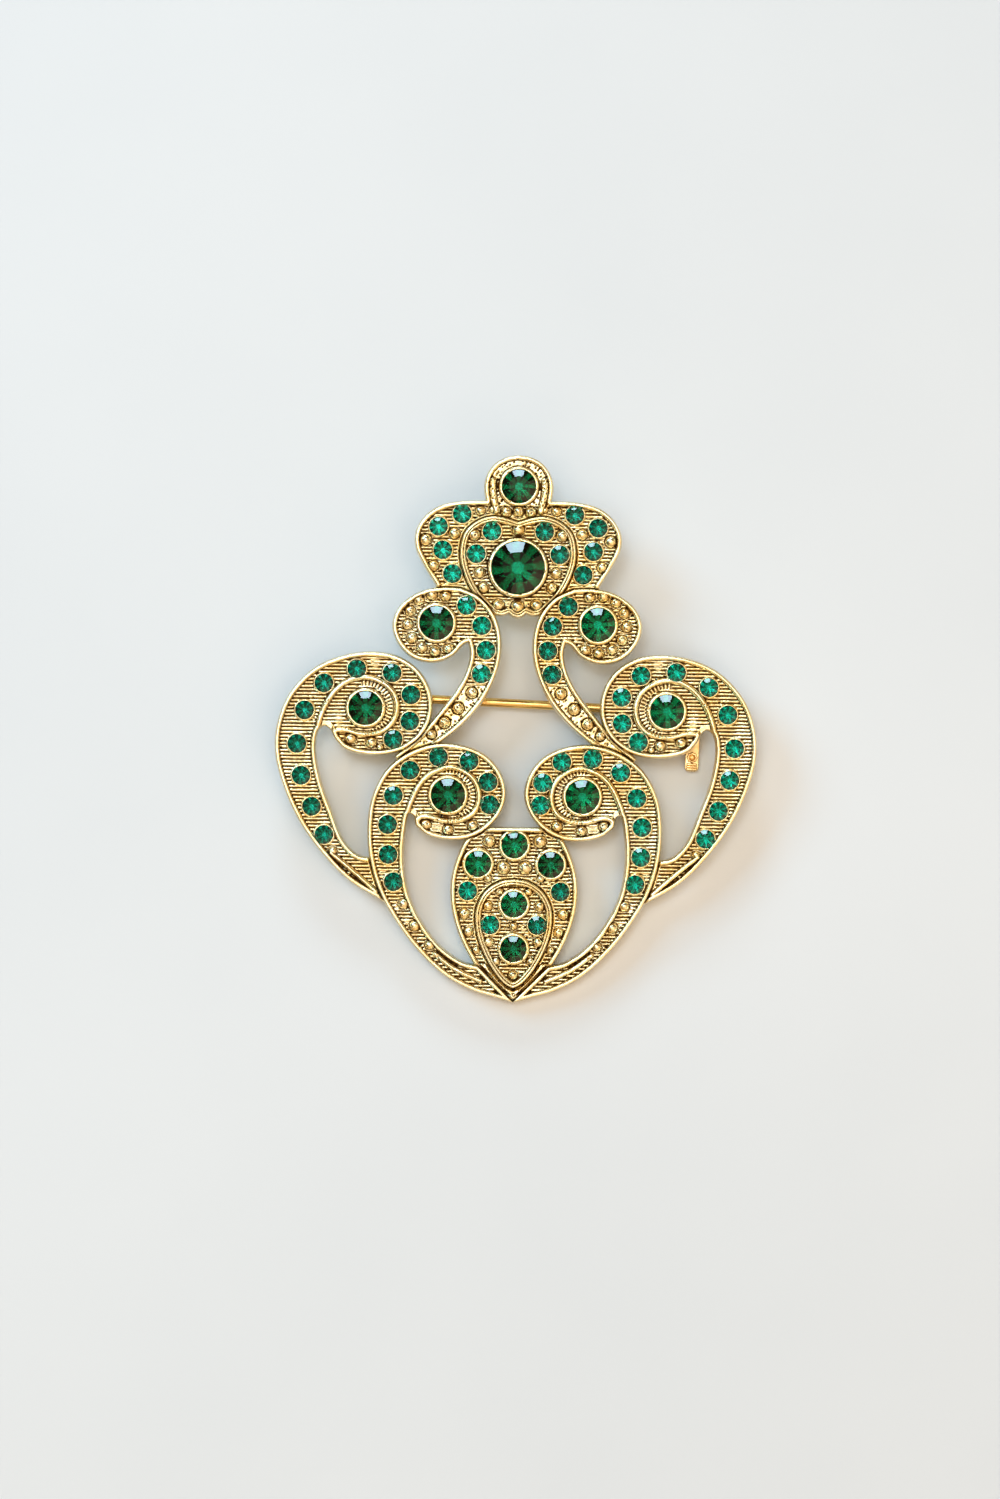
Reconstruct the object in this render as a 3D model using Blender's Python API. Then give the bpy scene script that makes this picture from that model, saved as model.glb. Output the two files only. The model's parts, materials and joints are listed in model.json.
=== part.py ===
"""A gilt brooch of openwork scrolls set with round green stones, with a hinged pin and a roller catch.

The brooch lies face up: +X to the wearer's left, +Y to the crest, +Z out of the front. The back of the
casting is the plane Z = 0, and the origin is behind the middle of the large stone. Sizes are in
millimetres here, and MM turns them into Blender's metres.
"""

import math

import bmesh
import bpy
from mathutils import Matrix, Vector
from mathutils.geometry import delaunay_2d_cdt, tessellate_polygon

MM = 0.001

# The whole casting. The outlines below are drawn at the drawn size and stretched to the overall size.
OVERALL_WIDTH = 52.8
OVERALL_HEIGHT = 59.8
DRAWN_WIDTH = 52.8
DRAWN_HEIGHT = 59.8

# Heights of the raised rims above the back, and the width and depth of the channel inside them.
CROWN_TOP = 1.9
HEART_TOP = 2.3
UPPER_TOP = 2.15
SIDE_TOP = 2.0
LOWER_TOP = 2.25
BUD_TOP = 2.4
LEAF_TOP = 2.7
RIM_WIDTH = 0.45
CHANNEL_DEPTH = 0.55
OUTLINE_STEP = 1.6
INSET_TOLERANCE = 0.07

# Round stones, by the diameter of the girdle, and how they sit.
SMALL_STONE = 2.1
BUD_STONE = 2.9
MEDIUM_STONE = 3.8
LARGE_STONE = 6.0
SEAT_CLEARANCE = 0.06
COLLAR_WIDTH = 0.4
COLLAR_LIP = 0.12
MEDALLION_RADIUS = 2.95
MEDALLION_RIM = 0.4
GIRDLE_SHARE = 0.05
CROWN_SHARE = 0.17
PAVILION_SHARE = 0.4
TABLE_SHARE = 0.56
CULET_ROOM = 0.12
BACK_ROOM = 0.12
GIRDLE_LIFT_SHARE = 0.1

# The pin and its findings, on the back. The pin runs a little downhill from the hinge to the catch.
PIN_SLOPE = math.radians(-2.3)
PIN_HEIGHT = 14.9
PIN_DROP = 2.4
PIN_DIAMETER = 1.0
PIN_TIP_DIAMETER = 0.16
PIN_TAPER = 7.0
PIN_POINT_LENGTH = 1.75
PIN_POINT_SHARE = 0.6
HINGE_X = -17.0
TIP_X = 21.6
FOOT_GAP = 0.05
FOOT_THICKNESS = 0.5

EYE_RADIUS = 1.1
EYE_WIDTH = 1.6
RIVET_DIAMETER = 0.8
RIVET_CLEARANCE = 0.06
RIVET_HEAD_DIAMETER = 1.4
RIVET_HEAD_HEIGHT = 0.35
RIVET_HEAD_DOME_SHARE = 0.6
EAR_GAP = 0.15
EAR_THICKNESS = 0.6
BRACKET_LENGTH = 4.2

CATCH_X = 17.7
CATCH_LENGTH = 2.3
ROLLER_RADIUS = 1.05
ROLLER_CLEARANCE = 0.1
SHELL_WALL = 0.4
SHELL_OPENING = math.radians(96)
CATCH_FOOT_WIDTH = 3.6
CATCH_WEB_WIDTH = 1.5
SLOT_CLEARANCE = 0.08
COLLAR_LENGTH = 0.35
SIDE_PLAY = 0.08
LEVER_X = 19.75
LEVER_WIDTH = 1.5
LEVER_REACH = 6.5
LEVER_THICKNESS = 0.6
LEVER_COLLAR_RADIUS = 1.45

# How far a shape runs into, or past, the one that it joins or cuts.
OVERLAP = 0.44

# Outlines of the right-hand half, +X. Each run is smooth, and two runs meet in a corner.
CROWN_HALF = [
    [(0, 12.35), (1.4, 12.1), (2.7, 11.3), (3.5, 10.0), (3.7, 8.7), (3.5, 7.3)],
    [(3.5, 7.3), (6.4, 7.2), (8.6, 6.7), (10.2, 5.6), (11.2, 3.9), (11.2, 2.2), (10.3, 0.3), (8.9, -1.95)],
    [(8.9, -1.95), (9.0, -3.0), (3.0, -3.6), (0, -3.6)],
]
HEART_HALF = [
    [(0, 5.0), (1.3, 5.4), (2.9, 5.6), (4.6, 5.05), (5.8, 3.9), (6.3, 2.2), (6.2, 0.4), (5.4, -1.8),
     (4.2, -3.6), (2.5, -5.1)],
    [(2.5, -5.1), (1.6, -5.2), (0.95, -4.95)],
    [(0.95, -4.95), (0.5, -5.3), (0, -5.45)],
]
UPPER_SCROLL = [
    [(6.2, -2.35), (8.3, -2.3), (10.8, -2.85), (12.9, -4.4), (13.65, -6.3), (13.1, -8.3), (11.4, -9.95),
     (9.1, -10.4), (7.1, -9.65), (5.9, -8.4), (5.3, -8.15)],
    [(5.3, -8.15), (5.05, -9.4), (5.45, -11.4), (6.5, -13.5), (8.2, -15.8), (10.2, -18.2), (13.2, -20.9)],
    [(13.2, -20.9), (12.6, -21.6), (10.4, -20.6), (8.2, -19.1), (6.0, -17.3), (4.0, -15.0), (2.6, -12.4),
     (1.9, -9.9), (1.9, -7.4), (2.6, -5.2), (4.2, -3.3), (6.2, -2.35)],
]
SIDE_SCROLL = [
    [(19.9, -18.9), (18.9, -19.95), (16.9, -20.6), (14.6, -20.65), (12.4, -20.05), (10.5, -18.6),
     (9.45, -16.5), (9.5, -13.9), (10.8, -11.5), (13.1, -9.95), (16.0, -9.5), (19.0, -9.9), (22.2, -11.3),
     (24.9, -14.1), (26.2, -17.3), (26.4, -20.6), (25.4, -24.4), (23.6, -28.2), (21.2, -31.5),
     (18.2, -34.5), (14.2, -36.9)],
    [(14.2, -36.9), (14.0, -34.0), (15.0, -32.2)],
    [(15.0, -32.2), (17.2, -31.9), (18.9, -30.3), (20.3, -27.0), (21.6, -23.4), (22.15, -19.9),
     (21.8, -18.0), (21.1, -17.5), (20.4, -17.9), (19.9, -18.9)],
]
LOWER_SCROLL = [
    [(10.85, -28.4), (9.6, -29.4), (7.6, -29.9), (5.4, -29.8), (3.3, -28.8), (1.7, -27.0), (1.1, -24.9),
     (1.7, -22.6), (3.4, -20.7), (5.9, -19.7), (8.8, -19.55), (11.8, -20.55), (14.1, -22.4),
     (15.6, -25.2), (16.1, -28.2), (15.8, -31.8), (14.8, -35.4), (12.9, -38.6), (10.3, -41.8),
     (7.4, -44.6), (4.2, -46.1), (2.3, -46.3)],
    [(2.3, -46.3), (3.9, -43.9)],
    [(3.9, -43.9), (5.6, -43.5), (8.2, -41.7), (10.3, -39.0), (11.7, -36.0), (12.3, -32.5),
     (12.15, -29.0), (11.7, -27.1), (11.1, -27.3), (10.85, -28.4)],
]
BUD_HALF = [
    [(0, -28.65), (3.6, -28.65)],
    [(3.6, -28.65), (5.0, -29.6), (6.2, -31.9), (6.85, -34.4), (6.8, -37.2), (6.0, -40.2), (4.6, -43.0),
     (2.7, -45.8), (1.2, -47.1), (0, -47.45)],
]
LEAF_HALF = [
    [(0, -34.3), (1.5, -34.55), (3.1, -35.6), (4.05, -37.4), (4.1, -39.6), (3.4, -42.0), (2.0, -44.5),
     (0.8, -45.8), (0, -46.2)],
]

# Middles of the stones on the right-hand half and on the middle line, each list from its scroll's tail.
CREST_STONE = (0, 9.0)
HEART_STONE = (0, 0)
CROWN_STONES = [(6.2, 5.9), (8.8, 4.5), (8.3, 1.9), (7.2, -0.7)]
HEART_STONES = [(2.9, 4.0), (4.6, 1.5)]
UPPER_STONES = [(3.9, -11.7), (3.4, -9.1), (3.9, -6.4), (5.6, -4.2)]
UPPER_EYE = (8.9, -6.15)
SIDE_STONES = [
    (21.0, -29.6), (22.4, -26.5), (23.6, -23.1), (24.1, -19.6), (23.3, -15.9), (21.2, -12.9),
    (17.6, -11.3), (13.7, -11.7), (11.6, -14.1), (11.7, -17.0), (13.5, -19.0),
]
SIDE_EYE = (16.6, -15.6)
LOWER_STONES = [
    (13.3, -34.7), (13.9, -31.7), (14.0, -28.4), (13.4, -25.2), (11.6, -22.4), (8.5, -20.9), (5.1, -21.3),
    (3.0, -23.6), (2.8, -26.1),
]
LOWER_EYE = (7.4, -25.1)
BUD_TIP_STONE = (0, -30.5)
BUD_SHOULDER_STONE = (4.0, -32.6)
BUD_SIDE_STONE = (5.1, -35.6)
LEAF_STONES = [(0, -37.0), (0, -41.9)]
LEAF_SIDE_STONE = (2.6, -39.3)

SMALL_SIDES = 8
BIG_SIDES = 16
ROUND_SIDES = 24

GOLD = (0.83, 0.56, 0.20)
GREEN = (0.0, 0.20, 0.11)


def clear_scene():
    for old in list(bpy.data.objects):
        bpy.data.objects.remove(old, do_unlink=True)


# ---------------------------------------------------------------- flat shapes


def smooth_run(knots, step=OUTLINE_STEP):
    """Points along a centripetal Catmull-Rom curve through the knots, without its last point."""
    inner = [Vector(knot) for knot in knots]
    knots = [2 * inner[0] - inner[1], *inner, 2 * inner[-1] - inner[-2]]
    points = []
    for before, start, end, after in zip(knots, knots[1:], knots[2:], knots[3:]):
        t1 = math.sqrt((start - before).length)
        t2 = t1 + math.sqrt((end - start).length)
        t3 = t2 + math.sqrt((after - end).length)
        count = max(1, round((end - start).length / step))
        for index in range(count):
            t = t1 + (t2 - t1) * index / count
            first = before.lerp(start, t / t1)
            second = start.lerp(end, (t - t1) / (t2 - t1))
            third = end.lerp(after, (t - t2) / (t3 - t2))
            near = first.lerp(second, t / t2)
            far = second.lerp(third, (t - t1) / (t3 - t1))
            points.append(near.lerp(far, (t - t1) / (t2 - t1)))
    return points


def stretched(point):
    """A drawn point moved to the overall size."""
    return Vector((point[0] * OVERALL_WIDTH / DRAWN_WIDTH, point[1] * OVERALL_HEIGHT / DRAWN_HEIGHT))


def mirrored(point):
    return Vector((-point[0], point[1]))


def closed_outline(runs):
    points = []
    for run in runs:
        knots = [stretched(knot) for knot in run]
        points += smooth_run(knots) if len(knots) > 2 else knots[:1]
    return points


def symmetric_outline(half_runs):
    """A closed outline from its right-hand half, whose first and last knots are on the middle line."""
    right = closed_outline(half_runs) + [stretched(half_runs[-1][-1])]
    return right + [mirrored(point) for point in reversed(right[1:-1])]


def turned_left(outline):
    """The outline's mirror image, still running the same way round."""
    return [mirrored(point) for point in reversed(outline)]


def signed_area(outline):
    return 0.5 * sum(a.cross(b) for a, b in zip(outline, outline[1:] + outline[:1]))


def counterclockwise(outline):
    return outline if signed_area(outline) > 0 else outline[::-1]


def distance_to(outline, point):
    """Distance from a point to the nearest edge of an outline."""
    best = math.inf
    for a, b in zip(outline, outline[1:] + outline[:1]):
        edge = b - a
        share = max(0.0, min(1.0, (point - a).dot(edge) / edge.length_squared))
        best = min(best, (point - a - edge * share).length)
    return best


def inset(outline, width):
    """The outline moved inwards, without the points that a tight corner would throw outside."""
    outline = counterclockwise(outline)
    moved = []
    for before, here, after in zip(outline[-1:] + outline, outline, outline[1:] + outline[:1]):
        along = ((here - before).normalized() + (after - here).normalized()).normalized()
        point = here + Vector((-along.y, along.x)) * width
        if distance_to(outline, point) > width * (1 - INSET_TOLERANCE):
            moved.append(point)
    return moved


def circle(middle, radius, sides):
    """A regular polygon whose flat sides touch the circle."""
    reach = radius / math.cos(math.pi / sides)
    turns = [2 * math.pi * (index + 0.5) / sides for index in range(sides)]
    return [Vector((middle[0] + reach * math.cos(turn), middle[1] + reach * math.sin(turn))) for turn in turns]


# ---------------------------------------------------------------- stones and their seats


class Stone:
    """A round stone: its node's name, its middle, its girdle and the height of the channel it sits in."""

    def __init__(self, name, middle, diameter, channel, collar=True):
        self.name = name
        self.middle = stretched(middle)
        self.diameter = diameter
        self.sides = SMALL_SIDES if diameter <= SMALL_STONE else BIG_SIDES
        self.collar = collar
        lowest = BACK_ROOM + CULET_ROOM + diameter * PAVILION_SHARE
        self.girdle = max(channel + diameter * GIRDLE_LIFT_SHARE, lowest)

    @property
    def seat_radius(self):
        return self.diameter / 2 + SEAT_CLEARANCE

    @property
    def seat_floor(self):
        return self.girdle - self.diameter * PAVILION_SHARE - CULET_ROOM

    @property
    def collar_top(self):
        return self.girdle + COLLAR_LIP


def channel_height(rim_top):
    return rim_top - CHANNEL_DEPTH


def pair(name, middle, diameter, channel, collar=True):
    """The right-hand stone and its mirror image."""
    left = (-middle[0], middle[1])
    return [
        Stone(name + "_right", middle, diameter, channel, collar),
        Stone(name + "_left", left, diameter, channel, collar),
    ]


def modelled_stones():
    """Every stone that is a node of its own."""
    stones = [
        Stone("stone_heart_large", HEART_STONE, LARGE_STONE, channel_height(HEART_TOP)),
        Stone("stone_crest", CREST_STONE, MEDIUM_STONE, channel_height(CROWN_TOP)),
        Stone("stone_bud_top", BUD_TIP_STONE, BUD_STONE, channel_height(BUD_TOP)),
        Stone("stone_leaf_upper", LEAF_STONES[0], BUD_STONE, channel_height(LEAF_TOP)),
        Stone("stone_leaf_lower", LEAF_STONES[1], BUD_STONE, channel_height(LEAF_TOP)),
    ]
    stones += pair("stone_upper_scroll_eye", UPPER_EYE, MEDIUM_STONE, channel_height(UPPER_TOP))
    stones += pair("stone_side_scroll_eye", SIDE_EYE, MEDIUM_STONE, channel_height(SIDE_TOP))
    stones += pair("stone_lower_scroll_eye", LOWER_EYE, MEDIUM_STONE, channel_height(LOWER_TOP))
    stones += pair("stone_bud_shoulder", BUD_SHOULDER_STONE, BUD_STONE, channel_height(BUD_TOP))
    for index, middle in enumerate(SIDE_STONES, start=1):
        stones += pair(f"stone_side_scroll_{index:02d}", middle, SMALL_STONE, channel_height(SIDE_TOP), False)
    for index, middle in enumerate(LOWER_STONES, start=1):
        stones += pair(f"stone_lower_scroll_{index:02d}", middle, SMALL_STONE, channel_height(LOWER_TOP), False)
    return stones


def empty_seats():
    """Seats of the small stones that aren't modelled as nodes."""
    seats = pair("seat", BUD_SIDE_STONE, SMALL_STONE, channel_height(BUD_TOP), False)
    seats += pair("seat", LEAF_SIDE_STONE, SMALL_STONE, channel_height(LEAF_TOP), False)
    for middles, top in ((CROWN_STONES, CROWN_TOP), (HEART_STONES, HEART_TOP), (UPPER_STONES, UPPER_TOP)):
        for middle in middles:
            seats += pair("seat", middle, SMALL_STONE, channel_height(top), False)
    return seats


# ---------------------------------------------------------------- the casting


def scroll_layers():
    """Outlines with their rim heights, the one that lies on top first."""
    layers = [(symmetric_outline(LEAF_HALF), LEAF_TOP)]
    for runs, top in ((LOWER_SCROLL, LOWER_TOP), (SIDE_SCROLL, SIDE_TOP), (UPPER_SCROLL, UPPER_TOP)):
        right = closed_outline(runs)
        layers += [(right, top), (turned_left(right), top)]
    layers.append((symmetric_outline(BUD_HALF), BUD_TOP))
    layers.append((symmetric_outline(HEART_HALF), HEART_TOP))
    layers.append((symmetric_outline(CROWN_HALF), CROWN_TOP))
    return layers


def height_zones(stones):
    """Flat zones of the casting's front, each an outline and its height. An earlier zone wins."""
    zones = [(circle(stone.middle, stone.seat_radius, stone.sides), stone.seat_floor) for stone in stones]
    for stone in stones:
        if stone.collar:
            outer = circle(stone.middle, stone.seat_radius + COLLAR_WIDTH, stone.sides)
            zones.append((outer, stone.collar_top))
    for eye, top in ((SIDE_EYE, SIDE_TOP), (LOWER_EYE, LOWER_TOP)):
        for middle in (stretched(eye), mirrored(stretched(eye))):
            zones.append((circle(middle, MEDALLION_RADIUS, ROUND_SIDES), channel_height(top)))
            zones.append((circle(middle, MEDALLION_RADIUS + MEDALLION_RIM, ROUND_SIDES), top))
    for outline, top in scroll_layers():
        zones.append((inset(outline, RIM_WIDTH), channel_height(top)))
        zones.append((outline, top))
    return zones


def add_cap(mesh, corner, triangle, height, upward):
    points = [corner(index, height) for index in triangle]
    mesh.faces.new(points if upward else points[::-1])


def add_wall(mesh, corner, start, end, levels_at_start, levels_at_end):
    """A vertical wall between two plan points, as a strip of triangles through the levels at each end."""
    low, high = 0, 0
    while low < len(levels_at_start) - 1 or high < len(levels_at_end) - 1:
        at_start, at_end = levels_at_start[low], levels_at_end[high]
        step_start = low < len(levels_at_start) - 1
        if step_start and high < len(levels_at_end) - 1:
            step_start = levels_at_start[low + 1] <= levels_at_end[high + 1]
        if step_start:
            low += 1
            third = corner(start, levels_at_start[low])
        else:
            high += 1
            third = corner(end, levels_at_end[high])
        mesh.faces.new((corner(start, at_start), corner(end, at_end), third))


def casting_mesh(zones):
    """The casting as flat zones joined by upright walls, closed by one flat back."""
    points, loops = [], []
    for outline, _ in zones:
        outline = counterclockwise(outline)
        loops.append(list(range(len(points), len(points) + len(outline))))
        points += outline
    plan, _, faces, _, _, sources = delaunay_2d_cdt(points, [], loops, 0, 0.001)
    height_of = {}
    for face, source in zip(faces, sources):
        if source:
            height_of[tuple(face)] = zones[min(source)][1]

    beside = {}
    for face, height in height_of.items():
        for a, b in zip(face, face[1:] + face[:1]):
            beside[a, b] = height
    levels_at = {}
    for (a, b), height in beside.items():
        other = beside.get((b, a), 0.0)
        for index in (a, b):
            levels_at.setdefault(index, set()).update((height, other))

    mesh = bmesh.new()
    corners = {}

    def corner(index, height):
        key = index, round(height, 6)
        if key not in corners:
            corners[key] = mesh.verts.new((plan[index].x * MM, plan[index].y * MM, height * MM))
        return corners[key]

    def between(index, bottom, top):
        return sorted(level for level in levels_at[index] if bottom <= level <= top)

    for face, height in height_of.items():
        add_cap(mesh, corner, face, height, upward=True)
    for (a, b), height in beside.items():
        other = beside.get((b, a), 0.0)
        if height > other:
            add_wall(mesh, corner, a, b, between(a, other, height), between(b, other, height))
    rim = [(a, b) for a, b in beside if (b, a) not in beside]
    add_back(mesh, corner, plan, rim)
    return mesh


def add_back(mesh, corner, plan, rim):
    """The flat back, triangulated between the outer edge's points only."""
    used = sorted({index for edge in rim for index in edge})
    place = {index: order for order, index in enumerate(used)}
    edges = [(place[a], place[b]) for a, b in rim]
    _, _, faces, _, _, _ = delaunay_2d_cdt([plan[index] for index in used], edges, [], 0, 0.0)
    solid_side = set(edges)
    kept = flood(faces, solid_side)
    for face in kept:
        add_cap(mesh, corner, [used[index] for index in face], 0.0, upward=False)


def flood(faces, solid_side):
    """The faces on the solid side of the outer edges, found by spreading from edge to edge."""
    owner = {}
    for order, face in enumerate(faces):
        for a, b in zip(face, face[1:] + face[:1]):
            owner[a, b] = order
    pending = [owner[edge] for edge in solid_side]
    kept = set()
    while pending:
        order = pending.pop()
        if order in kept:
            continue
        kept.add(order)
        face = faces[order]
        for a, b in zip(face, face[1:] + face[:1]):
            if (a, b) not in solid_side and (b, a) in owner:
                pending.append(owner[b, a])
    return [faces[order] for order in sorted(kept)]


# ---------------------------------------------------------------- objects and materials


def gilt_metal(name, roughness):
    material = bpy.data.materials.new(name)
    material.use_nodes = True
    shader = material.node_tree.nodes["Principled BSDF"]
    shader.inputs["Base Color"].default_value = (*GOLD, 1)
    shader.inputs["Metallic"].default_value = 1.0
    shader.inputs["Roughness"].default_value = roughness
    return material


def green_glass(name):
    material = bpy.data.materials.new(name)
    material.use_nodes = True
    shader = material.node_tree.nodes["Principled BSDF"]
    shader.inputs["Base Color"].default_value = (*GREEN, 1)
    shader.inputs["Metallic"].default_value = 0.0
    shader.inputs["Roughness"].default_value = 0.05
    return material


def object_from(name, mesh, material, matrix=None):
    """A scene object from a bmesh, which is freed."""
    mesh.normal_update()
    data = bpy.data.meshes.new(name)
    mesh.to_mesh(data)
    mesh.free()
    data.materials.append(material)
    made = bpy.data.objects.new(name, data)
    made.matrix_world = matrix or Matrix.Identity(4)
    bpy.context.scene.collection.objects.link(made)
    return made


def cut_or_join(target, tool, operation):
    """A Boolean on the target, with the tool kept as a hidden helper in the target's own space."""
    tool.matrix_world = target.matrix_world.copy()
    tool.hide_render = True
    tool.display_type = "WIRE"
    modifier = target.modifiers.new(tool.name, "BOOLEAN")
    modifier.operation = operation
    modifier.object = tool


def prism(profile, start, end):
    """A profile in the YZ plane, extruded along X. Its points run counterclockwise seen from +X."""
    mesh = bmesh.new()
    near = [mesh.verts.new((start * MM, y * MM, z * MM)) for y, z in profile]
    far = [mesh.verts.new((end * MM, y * MM, z * MM)) for y, z in profile]
    for a, b, c, d in zip(near, near[1:] + near[:1], far[1:] + far[:1], far):
        mesh.faces.new((a, b, c, d))
    for one, two, three in tessellate_polygon([[Vector((0, y, z)) for y, z in profile]]):
        mesh.faces.new((far[one], far[two], far[three]))
        mesh.faces.new((near[three], near[two], near[one]))
    bmesh.ops.recalc_face_normals(mesh, faces=mesh.faces)
    return mesh


def turned(profile, sides=ROUND_SIDES):
    """A round body about X from (x, radius) points, closed at both ends."""
    mesh = bmesh.new()
    rings = []
    for x, radius in profile:
        turns = [2 * math.pi * index / sides for index in range(sides)]
        rings.append([
            mesh.verts.new((x * MM, radius * math.cos(turn) * MM, radius * math.sin(turn) * MM))
            for turn in turns
        ])
    for ring, following in zip(rings, rings[1:]):
        for index in range(sides):
            after = (index + 1) % sides
            mesh.faces.new((ring[index], ring[after], following[after], following[index]))
    mesh.faces.new(rings[0][::-1])
    mesh.faces.new(rings[-1])
    bmesh.ops.recalc_face_normals(mesh, faces=mesh.faces)
    return mesh


def arc(middle, radius, start, end, steps):
    """Points along an arc in the YZ plane. Angles are in radians from +Y towards +Z."""
    turns = [start + (end - start) * index / steps for index in range(steps + 1)]
    return [(middle[0] + radius * math.cos(turn), middle[1] + radius * math.sin(turn)) for turn in turns]


# ---------------------------------------------------------------- the pieces


def make_casting(stones):
    casting = object_from("brooch_casting", casting_mesh(height_zones(stones + empty_seats())),
                          gilt_metal("casting_gilt", 0.25))
    casting.data.set_sharp_from_angle(angle=math.radians(30))
    return casting


def stone_mesh(stone):
    """A foiled chaton: a flat table, a sloping crown, a narrow girdle and a pointed pavilion."""
    mesh = bmesh.new()
    radius = stone.diameter / 2

    def ring(share, height):
        around = circle((0, 0), radius * share, stone.sides)
        return [mesh.verts.new((point.x * MM, point.y * MM, height * MM)) for point in around]

    table = ring(TABLE_SHARE, stone.diameter * (CROWN_SHARE + GIRDLE_SHARE))
    upper_girdle = ring(1.0, stone.diameter * GIRDLE_SHARE)
    lower_girdle = ring(1.0, 0.0)
    culet = mesh.verts.new((0, 0, -stone.diameter * PAVILION_SHARE * MM))
    mesh.faces.new(table)
    for top, bottom in ((table, upper_girdle), (upper_girdle, lower_girdle)):
        for index in range(stone.sides):
            after = (index + 1) % stone.sides
            mesh.faces.new((top[index], bottom[index], bottom[after], top[after]))
    for index in range(stone.sides):
        mesh.faces.new((lower_girdle[index], culet, lower_girdle[(index + 1) % stone.sides]))
    bmesh.ops.recalc_face_normals(mesh, faces=mesh.faces)
    return mesh


def make_stones(stones):
    for stone in stones:
        place = Matrix.Translation(Vector((stone.middle.x, stone.middle.y, stone.girdle)) * MM)
        object_from(stone.name, stone_mesh(stone), green_glass(stone.name + "_glass"), place)


def on_pin(x):
    """The frame of the pin's line at this X: local X runs along the pin, local Z stays upright."""
    offset = (x, -PIN_HEIGHT + math.tan(PIN_SLOPE) * x, -PIN_DROP)
    return Matrix.Translation(Vector(offset) * MM) @ Matrix.Rotation(PIN_SLOPE, 4, "Z")


def along_pin(x):
    """Distance along the pin from the hinge's axis to the point at this X."""
    return (x - HINGE_X) / math.cos(PIN_SLOPE)


def make_pin_stem():
    """The pin: a wire that tapers to a point, with an eye that turns on the rivet."""
    length = along_pin(TIP_X)
    radius = PIN_DIAMETER / 2
    wire = turned([
        (EYE_RADIUS - OVERLAP, radius),
        (length - PIN_TAPER, radius),
        (length - PIN_POINT_LENGTH, radius * PIN_POINT_SHARE),
        (length, PIN_TIP_DIAMETER / 2),
    ], sides=12)
    stem = object_from("pin_stem", wire, gilt_metal("pin_steel_gilt", 0.2), on_pin(HINGE_X))
    eye = object_from("pin_eye_tool", crosswise_disc(EYE_RADIUS, EYE_WIDTH), stem.data.materials[0])
    bore_radius = RIVET_DIAMETER / 2 + RIVET_CLEARANCE
    bore = object_from("pin_bore_tool", crosswise_disc(bore_radius, EYE_WIDTH * 2), stem.data.materials[0])
    cut_or_join(stem, eye, "UNION")
    cut_or_join(stem, bore, "DIFFERENCE")


def crosswise_disc(radius, width, sides=ROUND_SIDES):
    """A disc about the local Y axis, centred on the origin."""
    mesh = turned([(-width / 2, radius), (width / 2, radius)], sides)
    bmesh.ops.rotate(mesh, matrix=Matrix.Rotation(math.pi / 2, 3, "Z"), verts=mesh.verts)
    return mesh


def make_hinge():
    """A bent bracket with two ears, and the rivet that goes through them and the pin's eye."""
    gilt = gilt_metal("hinge_gilt", 0.3)
    ear_inner = EYE_WIDTH / 2 + EAR_GAP
    ear_outer = ear_inner + EAR_THICKNESS
    top = PIN_DROP - FOOT_GAP
    under_foot = top - FOOT_THICKNESS
    half = BRACKET_LENGTH / 2
    profile = [
        (-ear_outer, top), (-ear_outer, -EYE_RADIUS), (-ear_inner, -EYE_RADIUS), (-ear_inner, under_foot),
        (ear_inner, under_foot), (ear_inner, -EYE_RADIUS), (ear_outer, -EYE_RADIUS), (ear_outer, top),
    ]
    bracket = object_from("hinge_bracket", prism(profile, -half, half), gilt, on_pin(HINGE_X))
    bore_radius = RIVET_DIAMETER / 2 + RIVET_CLEARANCE
    bore = object_from("hinge_bore_tool", crosswise_disc(bore_radius, ear_outer * 3), gilt)
    cut_or_join(bracket, bore, "DIFFERENCE")
    for name, side in (("front", 1), ("rear", -1)):
        chamfer = object_from(f"hinge_{name}_corner_tool", ear_corner(half, under_foot, side), gilt)
        cut_or_join(bracket, chamfer, "DIFFERENCE")

    inner = ear_outer + RIVET_CLEARANCE
    shank = RIVET_DIAMETER / 2
    head = RIVET_HEAD_DIAMETER / 2
    dome = head * RIVET_HEAD_DOME_SHARE
    rivet_mesh = turned([
        (-inner - RIVET_HEAD_HEIGHT, dome), (-inner - RIVET_HEAD_HEIGHT / 2, head), (-inner, head),
        (-inner, shank), (inner, shank),
        (inner, head), (inner + RIVET_HEAD_HEIGHT / 2, head), (inner + RIVET_HEAD_HEIGHT, dome),
    ], sides=16)
    bmesh.ops.rotate(rivet_mesh, matrix=Matrix.Rotation(math.pi / 2, 3, "Z"), verts=rivet_mesh.verts)
    object_from("hinge_rivet", rivet_mesh, gilt_metal("rivet_gilt", 0.3), on_pin(HINGE_X))


def ear_corner(half, under_foot, side):
    """A wedge that slopes one end of the ears from the foot to the round about the rivet."""
    outer = side * (half + OVERLAP)
    lowest = -EYE_RADIUS - OVERLAP
    profile = [(side * EYE_RADIUS, lowest), (outer, lowest), (outer, under_foot)]
    mesh = bmesh.new()
    reach = EYE_WIDTH * 2
    near = [mesh.verts.new((x * MM, -reach * MM, z * MM)) for x, z in profile]
    far = [mesh.verts.new((x * MM, reach * MM, z * MM)) for x, z in profile]
    for a, b, c, d in zip(near, near[1:] + near[:1], far[1:] + far[:1], far):
        mesh.faces.new((a, b, c, d))
    mesh.faces.new(near)
    mesh.faces.new(far)
    bmesh.ops.recalc_face_normals(mesh, faces=mesh.faces)
    return mesh


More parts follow.
